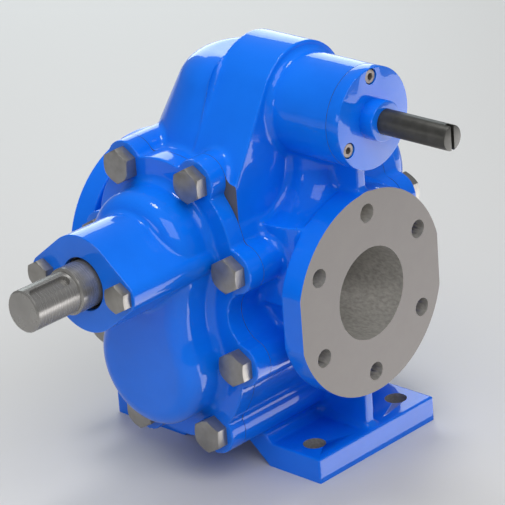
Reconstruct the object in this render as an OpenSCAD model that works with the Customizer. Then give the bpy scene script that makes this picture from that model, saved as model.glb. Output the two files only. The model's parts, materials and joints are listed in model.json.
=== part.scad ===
/* [Gears] */
// Module of the two spur gears
gear_module = 9; // [8.6:0.1:9.2]
// Teeth on each gear
gear_teeth = 12; // [12:1:12]
// Pressure angle of the teeth
pressure_angle = 20; // [18:1:22]
// Clearance that thins each tooth at the pitch circle
tooth_backlash = 0.5; // [0.4:0.1:1]
// Addendum shortened so that a tip clears the mating root
tip_shortening = 0.5; // [0.3:0.1:1]
// Depth of a tooth space below the pitch circle
tooth_dedendum = 10.6; // [10:0.1:11]
// Gap between a tooth tip and the chamber wall
tip_gap = 0.3; // [0.2:0.05:0.6]
// Gap between a gear's end and the cover
side_gap = 0.15; // [0.1:0.05:0.5]
// Degrees by which a tooth widens on each side at its root
root_flare = 1.5; // [0:0.5:2]

/* [Body] */
// Height of the port axis above the feet
port_z = 182; // [178:1:192]
// How far the port axis stands ahead of the middle of the feet
port_ahead = 25; // [15:1:30]
// Port axis to the front joint face
front_len = 96.5; // [94:0.5:104]
// Port axis to the rear joint face
rear_len = 100; // [94:0.5:108]
// Radius of the body and covers about each gear axis
shell_r = 86; // [84:0.5:88]
// Radius of the lugs round the cover bolts
lug_r = 22; // [20:0.5:23]
// Cover bolt circle about each gear axis
bolt_circle_r = 85; // [83:0.5:86]
// Upper bolt of each pair, degrees from the vertical
bolt_angle_high = 32; // [29:1:35]
// Lower bolt of each pair, degrees from the vertical
bolt_angle_low = 95; // [92:1:98]
// Half width of the shell between the gears
waist_half = 74; // [72:0.5:76]

/* [Ports] */
// Radius of the port bore
port_bore_r = 45; // [40:0.5:47]
// Pump axis to a port face
port_face_x = 149; // [146:1:154]
// Outer radius of a port flange
flange_r = 100; // [98:1:104]
// Thickness of a port flange
flange_t = 24; // [20:1:26]
// Half width across the flats on a flange's sides
flange_half_flat = 96.5; // [94:0.5:98]
// Bolt circle diameter of a port flange
flange_pcd = 160; // [156:1:164]
// Bolts in a port flange
flange_holes = 6; // [4:1:8]
// Radius of a flange bolt hole
flange_hole_r = 9; // [8:0.25:10]
// Radius of the port neck
neck_r = 64; // [60:1:66]
// Radius of the flare from neck to flange
neck_flare = 24; // [16:1:26]
// Depth of the full port bore
port_bore_len = 86; // [70:1:88]
// Radius of the passage from the port into the gears
inner_port_r = 36; // [30:1:38]

/* [Feet] */
// Overall width of the feet
foot_w = 246; // [240:1:252]
// Length of the feet along the shaft
foot_depth = 167; // [164:1:172]
// Thickness of a foot
foot_t = 25; // [20:1:28]
// Half width of the gap between the feet, at the floor
foot_gap_half = 56.5; // [52:0.5:60]
// Half width of the gap at its top
foot_gap_top_half = 33; // [28:1:36]
// Height of the gap between the feet
foot_gap_h = 19.5; // [16:0.5:21]
// Inner edge of a foot's flat top
foot_pad_inner = 62; // [58:0.5:66]
// Half the spacing of the foot bolts across the pump
foot_bolt_x = 95.5; // [92:0.5:100]
// Half the spacing of the foot bolts along the shaft
foot_bolt_y = 59.5; // [55:0.5:62]
// Radius of a foot bolt hole
foot_hole_r = 11; // [9:0.5:12]
// Thickness of the webs that carry the ports
web_t = 11; // [8:1:14]
// Pump axis to the upright edge of a lower web
web_reach = 115; // [110:1:118]
// How far an upper web stays behind the port face
web_set_back = 4; // [2:1:8]
// How far the struts between the feet run up behind the shell
strut_rise = 12; // [8:1:20]

/* [Covers] */
// Thickness of a cover's flange
cover_t = 18; // [16:0.5:20]
// Thickness of a cover gasket
gasket_t = 0.5; // [0.3:0.1:1]
// How far a gasket's edge stays inside the joint
gasket_inset = 0.5; // [0.3:0.1:1]
// Radius of the cover's dome about each gear axis
dome_r = 62; // [61:0.5:63]
// Height of the dome above the cover's flange
dome_h = 44; // [42:0.5:48]
// Radius of the dome's front corner
dome_corner = 18; // [12:1:20]
// Radius of the fillet at the dome's foot
dome_fillet = 9; // [4:1:10]
// Half width of the dome between the gears
dome_waist = 52; // [50:0.5:53]
// Size of the cover bolts' thread
cover_bolt_d = 20; // [16:1:20]
// Length of a cover bolt below its head
cover_bolt_len = 55; // [45:1:60]
// Height of a cover bolt's head
cover_head_h = 12.5; // [10:0.5:13]
// Width across the flats of a cover bolt's head
cover_head_af = 30; // [24:1:30]
// Clearance of a bolt in the hole it passes through, on the radius
bolt_clearance = 0.5; // [0.3:0.1:1]
// Diameter of a dowel pin
dowel_d = 10; // [8:1:12]
// Length of a dowel pin
dowel_len = 28; // [20:1:32]
// Dowel pin, degrees from the vertical about a gear axis
dowel_angle = 63; // [60:1:66]

/* [Shafts] */
// Diameter of the shafts in their bushes
shaft_d = 45; // [40:1:46]
// Diameter of the driving end of the shaft
shaft_end_d = 40; // [32:1:40]
// Port axis to the end of the drive shaft
shaft_reach = 296; // [285:1:310]
// Length of the thinner driving end
shaft_end_len = 52; // [48:1:56]
// Chamfer on the ends of the shafts
shaft_chamfer = 1.5; // [0.5:0.5:3]
// Keyway's turn from the vertical
key_turn = 30; // [0:5:60]
// Width of the keyway in the driving end
end_key_w = 12; // [8:1:12]
// Depth of the keyway in the driving end
end_key_depth = 5; // [3:0.5:6]
// Length of the keyway in the driving end
end_key_len = 46; // [38:1:47]
// Distance of that keyway from the shaft's step
end_key_set_back = 3; // [1:0.5:5]
// Width of a gear key
gear_key_w = 14; // [10:1:14]
// Height of a gear key
gear_key_h = 9; // [8:0.5:10]
// Depth of a gear key's slot in its shaft
gear_key_sink = 5.5; // [4:0.5:6]
// Gap over a gear key in its gear
gear_key_gap = 0.2; // [0.1:0.1:0.5]
// Length of a gear key
gear_key_len = 120; // [80:5:140]
// Running clearance of a shaft in its bush, on the radius
bush_clearance = 0.05; // [0.03:0.01:0.1]
// Wall of a bush
bush_wall = 7.5; // [6:0.5:8]
// Length of a bush
bush_len = 48; // [40:1:49]
// Space behind the end of a bush
bush_end_gap = 4; // [3:0.5:5]

/* [Shaft seal] */
// Port axis to the front of the seal cover
seal_cover_front = 222; // [220:0.5:226]
// Thickness of the seal cover
seal_cover_t = 10; // [8:0.5:12]
// Radius of the round middle of the seal housing
gland_r = 47; // [46:0.5:50]
// Radius of the seal housing's two ends
gland_end_r = 16; // [15:0.5:18]
// Half the spacing of the seal cover's bolts
gland_bolt_x = 50; // [48:0.5:52]
// Size of the seal cover bolts' thread
gland_bolt_d = 16; // [12:1:16]
// Width across the flats of a seal cover bolt's head
gland_head_af = 24; // [18:1:24]
// Height of a seal cover bolt's head
gland_head_h = 10; // [8:0.5:10]
// Length of a seal cover bolt below its head
gland_bolt_len = 35; // [25:1:40]
// Radius of the opening in the seal cover
gland_bore_r = 25.5; // [25:0.5:27]
// Radius of the seal chamber
seal_chamber_r = 32; // [31.5:0.5:33]
// Thickness of the wall between bush and seal chamber
seal_wall_t = 9; // [6:1:12]
// Length of the fixed seal seat
seal_seat_len = 12; // [10:1:14]
// Depth of the seat's recess in the seal cover
seal_seat_recess = 4; // [3:0.5:5]
// Length of the turning seal ring
seal_ring_len = 12; // [10:1:14]
// Length of the seal spring
seal_spring_len = 16; // [12:1:16]
// Wire diameter of the seal spring
seal_wire_d = 3; // [2.4:0.2:3.2]
// Turns of the seal spring
seal_turns = 3; // [2:1:4]
// Running gap between the fixed seat and the turning ring
seal_face_gap = 0.1; // [0.05:0.05:0.2]
// Gap round the shaft inside the fixed seat
seal_shaft_gap = 1.5; // [1:0.5:2]
// Gap between the turning seal parts and the chamber
seal_wall_gap = 3.5; // [3:0.5:4]
// How much smaller the fixed seat is than the chamber, on the radius
seal_seat_step = 1; // [0.5:0.5:1.5]

/* [Relief valve] */
// Height of the relief valve's axis above the port axis
valve_above_port = 175.5; // [174:0.5:178]
// Radius of the casing about the valve axis
casing_r = 57; // [55:0.5:59]
// Left end of the casing's flat side
casing_x0 = 17; // [12:1:20]
// Right end of the casing
casing_x1 = 79; // [76:1:82]
// Slope of the casing's sides from the horizontal
casing_slope = 60; // [58:0.5:61]
// Axis of the saddle under the bonnet
saddle_x = 88; // [86:1:92]
// Radius of the saddle
saddle_r = 25; // [22:1:28]
// Radius of the flare at the saddle's foot
saddle_flare = 46; // [40:1:50]
// Foot of the saddle's flare above the gear axis
saddle_foot_h = 26; // [20:1:30]
// Axis of the casing's rounded left end
cap_x = 5; // [2:1:8]
// Top of the rounded end above the valve axis
cap_top = 46; // [44:0.5:48]
// Radius of the rounded end's top corner
cap_corner = 35; // [30:1:36]
// Reach of the rounded end at its shoulder
cap_shoulder = 61; // [58:1:64]
// Lean of the rounded end's skirt from the vertical
cap_lean = 20; // [18:1:24]
// Height of the skirt's upright foot above the gear axis
cap_skirt_h = 34; // [30:1:40]
// Radius of the bonnet
bonnet_r = 48; // [46:0.5:50]
// Pump axis to the joint of the valve cover
bonnet_x = 149; // [145:1:153]
// Thickness of the valve cover
valve_cover_t = 14.5; // [12:0.5:16]
// Radius of the valve cover's boss
valve_boss_r = 19; // [18:0.5:21]
// Length of the valve cover's boss
valve_boss_h = 15; // [12:0.5:18]
// Radius of the spring chamber
chamber_r = 33; // [32:0.5:34]
// Thread diameter of the adjusting spindle
spindle_d = 24; // [22:1:26]
// Thread pitch of the adjusting spindle
spindle_pitch = 3; // [2:0.5:3]
// Pump axis to the end of the adjusting spindle
spindle_reach = 256; // [240:1:265]
// Width of the spindle's screwdriver slot
spindle_slot_w = 4; // [3:0.5:5]
// Depth of the spindle's screwdriver slot
spindle_slot_depth = 7; // [4:0.5:9]
// Clearance of the spindle in its thread, on the radius
thread_relief = 0.1; // [0.05:0.01:0.1]
// Radius of the circle of valve cover screws
screw_circle_r = 40; // [39:0.25:41]
// Thread diameter of the valve cover screws
screw_d = 8; // [6:1:8]
// Diameter of a valve cover screw's head
screw_head_d = 13; // [10:0.5:13]
// Diameter of the counterbore of a valve cover screw
counterbore_d = 15; // [14:0.5:15]
// Depth of that counterbore
counterbore_depth = 9; // [8:0.5:10]
// Length of a valve cover screw below the joint
screw_len = 22; // [16:1:26]
// Width of the hexagon socket in a screw's head
socket_af = 6; // [5:0.5:6]
// Length of the valve cover's spigot in the spring chamber
spigot_len = 8; // [7:0.5:9]
// Clearance of that spigot, on the radius
spigot_gap = 0.1; // [0.05:0.05:0.3]
// Thickness of the ring round the spigot
o_ring_d = 3.5; // [3:0.5:4]
// Thickness of the ring round the spindle
stem_ring_d = 3.5; // [2.5:0.5:3.5]
// Depth of the spindle's ring behind the boss's face
stem_ring_depth = 5; // [4:0.5:7]
// Bore of the valve seat
seat_bore_r = 21; // [19:0.5:22]
// Face of the valve seat, from the pump axis
seat_x = 20; // [19:0.5:22]
// Length of the valve seat
seat_len = 16; // [14:0.5:18]
// Wall of the valve seat
seat_wall = 8; // [6:0.5:9]
// Radius of the relief poppet
poppet_r = 26; // [25:0.5:28]
// Thickness of the relief poppet's disc
poppet_t = 10; // [8:0.5:12]
// Thickness of the poppet's guide wings
wing_t = 5; // [3:0.5:8]
// Clearance of the guide wings in the seat, and of the closed poppet
wing_gap = 0.1; // [0.05:0.01:0.1]
// Wire diameter of the relief spring
spring_wire_d = 7; // [6:0.5:7.5]
// Outer diameter of the relief spring
spring_od = 45; // [42:1:46]
// Turns of the relief spring
spring_turns = 7; // [6:1:8]
// Fitted length of the relief spring
spring_len = 88; // [84:1:92]
// Thickness of the spring plate
plate_t = 8; // [7:0.5:10]
// Radius of the spring plate
plate_r = 28; // [27:0.5:30]
// Length of the poppet's spigot in the relief spring
poppet_spigot = 14; // [8:1:16]
// Length of the plate's spigot in the relief spring
plate_spigot = 7; // [4:1:10]
// Gap between the spigots and the relief spring
spring_spigot_gap = 1.5; // [1.2:0.1:2]
// Depth of the spindle's tip in the spring plate
tip_depth = 4; // [3:0.5:6]
// Gap round the spindle's tip
tip_side_gap = 0.3; // [0.2:0.1:0.6]
// Radius of the passage to the left port
inlet_r = 18; // [14:1:18]
// Wall round the passage to the left port
inlet_wall = 10; // [8:1:11]
// Pump axis to the top of that passage
inlet_top_x = 30; // [28:1:34]
// Pump axis to its foot at the port bore
inlet_foot_x = 108; // [106:1:110]
// Height of its foot above the port bore's wall
inlet_foot_h = 5; // [3:1:7]
// Radius of the passage to the right port
outlet_r = 15; // [12:1:16]

/* [Hidden] */
$fn = 96;

// A little more than a cut needs, so that no skin stays
over = 1;
// Gap between pressed or screwed parts that are drawn at size
fit_gap = 0.02;

pitch_r = gear_module * gear_teeth / 2;
tip_r = pitch_r + gear_module - tip_shortening;
root_r = pitch_r - tooth_dedendum;
base_r = pitch_r * cos(pressure_angle);
drive_z = port_z + pitch_r;
driven_z = port_z - pitch_r;
gear_bore_r = tip_r + tip_gap;
gear_y0 = -front_len - gasket_t + side_gap;
gear_y1 = rear_len + gasket_t - side_gap;
gear_zs = [driven_z, drive_z];

cover_front = front_len + gasket_t + cover_t;
cover_rear = rear_len + gasket_t + cover_t;
cover_seat = [front_len + gasket_t, rear_len + gasket_t];
bush_r = shaft_d / 2 + bush_clearance + bush_wall;
bush_pocket = bush_len + bush_end_gap;
gland_seat = seal_cover_front - seal_cover_t;
gland_face = gland_seat - gasket_t;
seal_chamber_y = front_len + gasket_t + bush_pocket + seal_wall_t;

valve_z = port_z + valve_above_port;
bonnet_end_x = bonnet_x + valve_cover_t;
plate_x = seat_x + poppet_t + spring_len;

// Place a piece of the pump so that the origin is midway between the foot bolts
module at_pump() {
    translate([0, -port_ahead, 0]) children();
}

// Extrude an XZ outline from y0 to y1
module along_y(y0, y1) {
    translate([0, y1, 0]) rotate([90, 0, 0]) linear_extrude(y1 - y0) children();
}

// Extrude a YZ outline from x0 to x1
module along_x(x0, x1) {
    translate([x0, 0, 0]) rotate([90, 0, 90]) linear_extrude(x1 - x0) children();
}

// Cylinder along Y from y0 to y1 at a point of the XZ plane
module rod_y(r, y0, y1, x = 0, z = 0) {
    translate([x, y1, z]) rotate([90, 0, 0]) cylinder(r = r, h = y1 - y0);
}

// Cylinder along X from x0 to x1 at a point of the YZ plane
module rod_x(r, x0, x1, y = 0, z = 0) {
    translate([x0, y, z]) rotate([0, 90, 0]) cylinder(r = r, h = x1 - x0);
}

// Turn a profile of radius and forward distance about an axis along Y
module turn_y(x = 0, z = 0) {
    translate([x, 0, z]) rotate([90, 0, 0]) rotate_extrude() children();
}

// Turn a profile of radius and distance along X about the X axis
module turn_x(z = 0) {
    translate([0, 0, z]) rotate([0, 90, 0]) rotate_extrude() children();
}

// Centres of the eight bolts of a cover, as points of the XZ plane
bolt_points = [
    for (side = [-1, 1], end = [-1, 1], a = [bolt_angle_high, bolt_angle_low])
        [side * bolt_circle_r * sin(a), port_z + end * (pitch_r + bolt_circle_r * cos(a))]
];

// Centres of the two dowels of a cover
dowel_r = (gear_bore_r + shell_r) / 2;
dowel_points = [
    for (side = [-1, 1])
        [side * dowel_r * sin(dowel_angle), port_z + side * (pitch_r + dowel_r * cos(dowel_angle))]
];

lug_x = bolt_circle_r * sin(bolt_angle_low);
lug_dz = pitch_r + bolt_circle_r * cos(bolt_angle_low);
// Radius of the hollow that meets both lugs beside the waist
waist_r = ((waist_half - lug_x) * (waist_half - lug_x) + lug_dz * lug_dz - lug_r * lug_r)
    / (2 * (lug_r - waist_half + lug_x)) + 1;

// Outline of the joint between body and covers, drawn in by an inset
module joint_outline(inset = 0) {
    difference() {
        union() {
            for (z = gear_zs) translate([0, z]) circle(shell_r - inset);
            for (p = bolt_points) translate(p) circle(lug_r - inset);
            translate([-lug_x, port_z - lug_dz]) square([2 * lug_x, 2 * lug_dz]);
        }
        for (side = [-1, 1])
            translate([side * (waist_half + waist_r), port_z]) circle(waist_r + inset);
    }
}

// Both gear chambers as one opening, drawn out by a margin
module chamber_outline(margin = 0) {
    for (z = gear_zs) translate([0, z]) circle(gear_bore_r + margin);
}

// Profile of a port neck and its flare, radius by distance from the pump axis
module neck_profile() {
    back_x = port_face_x - flange_t;
    square([neck_r, back_x + over]);
    difference() {
        translate([0, back_x - neck_flare]) square([neck_r + neck_flare, neck_flare + over]);
        translate([neck_r + neck_flare, back_x - neck_flare]) circle(neck_flare);
    }
}

// One port: neck, flange and its flats
module port_solid() {
    turn_x(port_z) neck_profile();
    intersection() {
        rod_x(flange_r, port_face_x - flange_t, port_face_x, 0, port_z);
        translate([port_face_x - flange_t - over, -flange_half_flat, port_z - flange_r - over])
            cube([flange_t + 2 * over, 2 * flange_half_flat, 2 * flange_r + 2 * over]);
    }
}

// Bore, inner passage and bolt holes of one port
module port_cuts() {
    rod_x(port_bore_r, port_face_x - port_bore_len, port_face_x + over, 0, port_z);
    rod_x(inner_port_r, 0, port_face_x - port_bore_len + over, 0, port_z);
    for (i = [0 : flange_holes - 1]) {
        a = i * 360 / flange_holes;
        rod_x(flange_hole_r, port_face_x - flange_t - over, port_face_x + over,
            flange_pcd / 2 * sin(a), port_z + flange_pcd / 2 * cos(a));
    }
}

// Slope of the gap between the feet, and of the struts above it
foot_slope = foot_gap_h / (foot_gap_half - foot_gap_top_half);

// Front view of the feet with the gap between them
module foot_outline() {
    difference() {
        translate([-foot_w / 2, 0]) square([foot_w, foot_t]);
        polygon([
            [-foot_gap_half - over, -over * foot_slope], [foot_gap_half + over, -over * foot_slope],
            [foot_gap_top_half, foot_gap_h], [-foot_gap_top_half, foot_gap_h]
        ]);
    }
}

// Front view of the struts from the feet up to the shell
module strut_outline() {
    top = driven_z - shell_r + strut_rise;
    top_x = foot_pad_inner - (top - foot_t) / foot_slope;
    sunk_x = foot_pad_inner + over / foot_slope;
    polygon([
        [-sunk_x, foot_t - over], [sunk_x, foot_t - over], [top_x, top], [-top_x, top]
    ]);
}

// Web that carries a port from the foot below
module lower_web() {
    top = port_z - neck_r + web_t;
    along_y(port_ahead - web_t / 2, port_ahead + web_t / 2)
        polygon([
            [foot_gap_top_half, foot_t - over], [web_reach, foot_t - over],
            [web_reach, top], [lug_x, top + web_t], [foot_gap_top_half, driven_z]
        ]);
}

// Side view of the relief valve casing: round top and sloping sides
slope_y = casing_r * sin(casing_slope);
slope_z = casing_r * cos(casing_slope);
// Height at which a sloping side meets the joint face at a distance from the port axis
function slope_foot(len) = valve_z + slope_z - (len - slope_y) * tan(casing_slope);
module casing_outline() {
    circle_in = casing_r - fit_gap;
    translate([0, valve_z]) circle(casing_r);
    polygon([
        [-front_len, drive_z], [rear_len, drive_z], [rear_len, slope_foot(rear_len)],
        [slope_y, valve_z + slope_z], [0, valve_z + circle_in], [-slope_y, valve_z + slope_z],
        [-front_len, slope_foot(front_len)]
    ]);
}

// Half profile of the casing's rounded left end
cap_corner_z = valve_z + cap_top - cap_corner;
cap_shoulder_z = cap_corner_z + cap_corner * sin(cap_lean);
cap_skirt_z = drive_z + cap_skirt_h;
cap_foot_x = cap_shoulder + (cap_shoulder_z - cap_skirt_z) * tan(cap_lean);
module cap_profile() {
    corner_x = cap_shoulder - cap_corner * cos(cap_lean);
    square_top = valve_z + cap_top;
    intersection() {
        union() {
            translate([0, drive_z]) square([corner_x, square_top - drive_z]);
            translate([corner_x, cap_corner_z]) circle(cap_corner);
            polygon([
                [0, drive_z], [cap_foot_x, drive_z], [cap_foot_x, cap_skirt_z],
                [cap_shoulder, cap_shoulder_z], [0, cap_corner_z]
            ]);
        }
        translate([0, drive_z]) square([cap_foot_x + over, square_top]);
    }
}

// Rounded left end of the casing, cut flush with the joint faces
module casing_cap() {
    intersection() {
        union() {
            translate([cap_x, 0, 0]) rotate_extrude(angle = 180, start = 90) cap_profile();
            along_x(cap_x, casing_x0 + over) {
                cap_profile();
                mirror([1, 0]) cap_profile();
            }
        }
        translate([-cap_foot_x, -front_len, drive_z])
            cube([2 * cap_foot_x, front_len + rear_len, 2 * cap_foot_x]);
    }
}

// Saddle that carries the bonnet and holds the passage to the right port
module saddle() {
    low = drive_z + saddle_foot_h;
    translate([saddle_x, 0, 0]) rotate_extrude()
        difference() {
            translate([0, port_z]) square([saddle_r + saddle_flare, valve_z - port_z]);
            translate([saddle_r + saddle_flare, low + saddle_flare]) circle(saddle_flare);
            translate([saddle_r, low + saddle_flare]) square([saddle_flare + over, valve_z]);
        }
}

// Ends of the sloping passage to the left port, as points of the XZ plane
inlet_top = [-inlet_top_x, valve_z];
inlet_foot = [-inlet_foot_x, port_z + port_bore_r + inlet_foot_h];
inlet_run = inlet_foot - inlet_top;
inlet_tilt = atan2(inlet_run[0], inlet_run[1]);

// Rod along the sloping passage, carried on past its foot by an extra length
module inlet_rod(r, extra) {
    translate([inlet_top[0], 0, inlet_top[1]]) rotate([0, inlet_tilt, 0])
        cylinder(r = r, h = norm(inlet_run) + extra);
}

module body_shell() {
    along_y(-front_len, rear_len) joint_outline();
    port_solid();
    mirror([1, 0, 0]) port_solid();
    along_x(casing_x0, casing_x1) casing_outline();
    casing_cap();
    inlet_rod(inlet_r + inlet_wall, 0);
    rod_x(bonnet_r, casing_x1 - over, bonnet_x, 0, valve_z);
    intersection() {
        saddle();
        translate([0, -flange_r, 0]) cube([port_face_x, 2 * flange_r, valve_z]);
    }
    along_y(-web_t / 2, web_t / 2)
        translate([saddle_x, port_z + neck_r])
            square([port_face_x - web_set_back - saddle_x,
                valve_z - port_z - neck_r - bonnet_r + web_t]);
    along_y(port_ahead - foot_depth / 2, port_ahead + foot_depth / 2) foot_outline();
    along_y(port_ahead - foot_depth / 2, rear_len) strut_outline();
    lower_web();
    mirror([1, 0, 0]) lower_web();
}

module body_cuts() {
    along_y(-front_len - over, rear_len + over) chamber_outline();
    port_cuts();
    mirror([1, 0, 0]) port_cuts();
    rod_x(chamber_r, seat_x, bonnet_x + over, 0, valve_z);
    rod_x(seat_bore_r + seat_wall, seat_x - seat_len, seat_x + over, 0, valve_z);
    rod_x(seat_bore_r, inlet_top[0], seat_x, 0, valve_z);
    inlet_rod(inlet_r, inlet_r + inlet_foot_h);
    translate([saddle_x, 0, port_z]) cylinder(r = outlet_r, h = valve_above_port);
    depth = cover_bolt_len - cover_t;
    for (p = bolt_points) {
        rod_y(cover_bolt_d / 2, -front_len - over, -front_len + depth, p[0], p[1]);
        rod_y(cover_bolt_d / 2, rear_len - depth, rear_len + over, p[0], p[1]);
    }
    for (p = dowel_points) {
        rod_y(dowel_d / 2, -front_len - over, -front_len + dowel_len / 2, p[0], p[1]);
        rod_y(dowel_d / 2, rear_len - dowel_len / 2, rear_len + over, p[0], p[1]);
    }
    for (p = screw_points)
        rod_x(screw_d / 2, bonnet_x - screw_len, bonnet_x + over, p[0], valve_z + p[1]);
    for (sx = [-1, 1], sy = [-1, 1])
        translate([sx * foot_bolt_x, port_ahead + sy * foot_bolt_y, -over])
            cylinder(r = foot_hole_r, h = foot_t + 2 * over);
}

module pump_body() {
    color("royalblue") at_pump() difference() {
        body_shell();
        body_cuts();
    }
}

// Section of the dome out to its wall, radius by distance in front of the cover's flange
module dome_profile() {
    intersection() {
        union() {
            square([dome_r, dome_h - dome_corner]);
            square([dome_r - dome_corner, dome_h]);
            translate([dome_r - dome_corner, dome_h - dome_corner]) circle(dome_corner);
            difference() {
                translate([0, -over]) square([dome_r + dome_fillet, dome_fillet + over]);
                translate([dome_r + dome_fillet, dome_fillet]) circle(dome_fillet);
            }
        }
        translate([0, -over]) square([2 * dome_r, dome_h + over]);
    }
}

// Radius and axis of the hollow that runs into both lobes of the dome, and the lean of their meeting
dome_hollow_r = (dome_waist * dome_waist + pitch_r * pitch_r - dome_r * dome_r)
    / (2 * (dome_r - dome_waist));
dome_hollow_x = dome_waist + dome_hollow_r;
dome_lean = atan2(pitch_r, dome_hollow_x);

// Dome over both shaft ends, standing forward from y = 0: two lobes and the waist between them
module dome() {
    for (end = [0, 180])
        translate([0, 0, port_z + pitch_r * cos(end)]) rotate([90, 0, 0])
            rotate_extrude(angle = 180 + 2 * dome_lean, start = end - dome_lean) dome_profile();
    for (side = [-1, 1]) intersection() {
        turn_y(side * dome_hollow_x, port_z) translate([dome_hollow_r, 0]) {
            translate([dome_r, 0]) mirror([1, 0]) dome_profile();
            translate([dome_r - over, -over]) square([2 * over, dome_h + over]);
        }
        along_y(-dome_h, over)
            polygon([[0, driven_z], [side * dome_hollow_x, port_z], [0, drive_z]]);
    }
}

// Holes through a cover's flange for its bolts
module cover_holes(y0, y1) {
    for (p = bolt_points) rod_y(cover_bolt_d / 2 + bolt_clearance, y0, y1, p[0], p[1]);
}

// Outline of the seal housing and its cover: a round middle and two ends
module gland_outline() {
    lean = acos((gland_r - gland_end_r) / gland_bolt_x);
    middle = (gland_r - fit_gap) * [cos(lean), sin(lean)];
    end = [gland_bolt_x, 0] + (gland_end_r - fit_gap) * [cos(lean), sin(lean)];
    circle(gland_r);
    for (side = [-1, 1]) translate([side * gland_bolt_x, 0]) circle(gland_end_r);
    polygon([
        middle, [-middle[0], middle[1]], [-end[0], end[1]], -end,
        -middle, [middle[0], -middle[1]], [end[0], -end[1]], end
    ]);
}

module front_cover() {
    seat = -front_len - gasket_t;
    color("royalblue") at_pump() difference() {
        union() {
            along_y(-cover_front, seat) joint_outline();
            translate([0, -cover_front, 0]) dome();
            translate([0, 0, drive_z]) along_y(-gland_face, -cover_front) gland_outline();
        }
        cover_holes(-cover_front - cover_head_h, seat + over);
        for (p = dowel_points) rod_y(dowel_d / 2, seat - dowel_len / 2, seat + over, p[0], p[1]);
        for (z = gear_zs) rod_y(bush_r, seat - bush_pocket, seat + over, 0, z);
        rod_y(gland_bore_r, -gland_face, seat, 0, drive_z);
        rod_y(seal_chamber_r, -gland_face - over, -seal_chamber_y, 0, drive_z);
        for (side = [-1, 1])
            rod_y(gland_bolt_d / 2, -gland_face - over, -gland_face + gland_bolt_len - seal_cover_t,
                side * gland_bolt_x, drive_z);
    }
}

module rear_cover() {
    seat = rear_len + gasket_t;
    color("royalblue") at_pump() difference() {
        union() {
            along_y(seat, cover_rear) joint_outline();
            translate([0, cover_rear, 0]) mirror([0, 1, 0]) dome();
        }
        cover_holes(seat - over, cover_rear + cover_head_h);
        for (p = dowel_points) rod_y(dowel_d / 2, seat - over, seat + dowel_len / 2, p[0], p[1]);
        for (z = gear_zs) rod_y(bush_r, seat - over, seat + bush_pocket, 0, z);
    }
}

module gasket(y0) {
    difference() {
        along_y(y0, y0 + gasket_t) difference() {
            joint_outline(gasket_inset);
            chamber_outline(gasket_inset);
        }
        cover_holes(y0 - over, y0 + gasket_t + over);
        for (p = dowel_points)
            rod_y(dowel_d / 2 + gasket_inset, y0 - over, y0 + gasket_t + over, p[0], p[1]);
    }
}

module front_gasket() {
    color("dimgray") at_pump() gasket(-front_len - gasket_t);
}

module rear_gasket() {
    color("dimgray") at_pump() gasket(rear_len);
}

// Hexagon bolt with a chamfered head, its seat at the origin and its head towards -Y
module hex_bolt(d, len, head_h, af) {
    r = af / 2 / cos(30);
    tip = d / 8;
    intersection() {
        rotate([90, 0, 0]) rotate([0, 0, 30]) cylinder(r = r, h = head_h, $fn = 6);
        turn_y() polygon([
            [0, 0], [r + over, 0], [r + over, head_h - (r + over - af / 2) * tan(30)],
            [af / 2, head_h], [0, head_h]
        ]);
    }
    rod_y(d / 2 - fit_gap, -fit_gap, len - tip);
    translate([0, len - tip, 0]) rotate([-90, 0, 0])
        cylinder(r1 = d / 2 - fit_gap, r2 = d / 2 - tip, h = tip);
}

module front_cover_bolts() {
    color("darkgray") at_pump() for (p = bolt_points)
        translate([p[0], -cover_front, p[1]])
            hex_bolt(cover_bolt_d, cover_bolt_len, cover_head_h, cover_head_af);
}

module rear_cover_bolts() {
    color("darkgray") at_pump() for (p = bolt_points)
        translate([p[0], cover_rear, p[1]]) mirror([0, 1, 0])
            hex_bolt(cover_bolt_d, cover_bolt_len, cover_head_h, cover_head_af);
}

module dowel_pins() {
    r = dowel_d / 2 - fit_gap;
    half = dowel_len / 2 - over;
    color("silver") at_pump() for (p = dowel_points) {
        rod_y(r, -front_len - half, -front_len + half, p[0], p[1]);
        rod_y(r, rear_len - half, rear_len + half, p[0], p[1]);
    }
}

// Angle of the involute at a radius, in degrees
function involute(r) = let (a = acos(min(1, base_r / r))) tan(a) * 180 / PI - a;
// Half the angle that a tooth takes at a radius
function tooth_half(r) = 90 / gear_teeth - tooth_backlash / pitch_r * 45 / PI
    + involute(pitch_r) - involute(r);
flank_steps = 6;
tooth_flank = [
    for (i = [0 : flank_steps])
        let (r = base_r + (tip_r + over - base_r) * i / flank_steps) [r, tooth_half(r)]
];
root_half = tooth_half(base_r) + root_flare;

// One tooth pointing along +X
module tooth() {
    right = [for (f = tooth_flank) f[0] * [cos(f[1]), -sin(f[1])]];
    left = [for (i = [flank_steps : -1 : 0]) let (f = tooth_flank[i]) f[0] * [cos(f[1]), sin(f[1])]];
    low = root_r - over;
    polygon(concat([low * [cos(root_half), -sin(root_half)]], right, left,
        [low * [cos(root_half), sin(root_half)]]));
}

// Spur gear in the XZ plane with its keyway
module gear(phase) {
    key_top = gear_key_bottom + gear_key_h + gear_key_gap;
    difference() {
        along_y(gear_y0, gear_y1) difference() {
            intersection() {
                union() {
                    circle(root_r);
                    for (i = [0 : gear_teeth - 1]) rotate(phase + i * 360 / gear_teeth) tooth();
                }
                circle(tip_r);
            }
            rotate(90 - key_turn) translate([0, -gear_key_w / 2 - fit_gap])
                square([key_top, gear_key_w + 2 * fit_gap]);
        }
        rod_y(shaft_d / 2 + fit_gap, gear_y0 - over, gear_y1 + over);
    }
}

module drive_gear() {
    color("gray") at_pump() translate([0, 0, drive_z]) gear(90);
}

module driven_gear() {
    color("gray") at_pump() translate([0, 0, driven_z]) gear(90 + 180 / gear_teeth);
}

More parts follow.
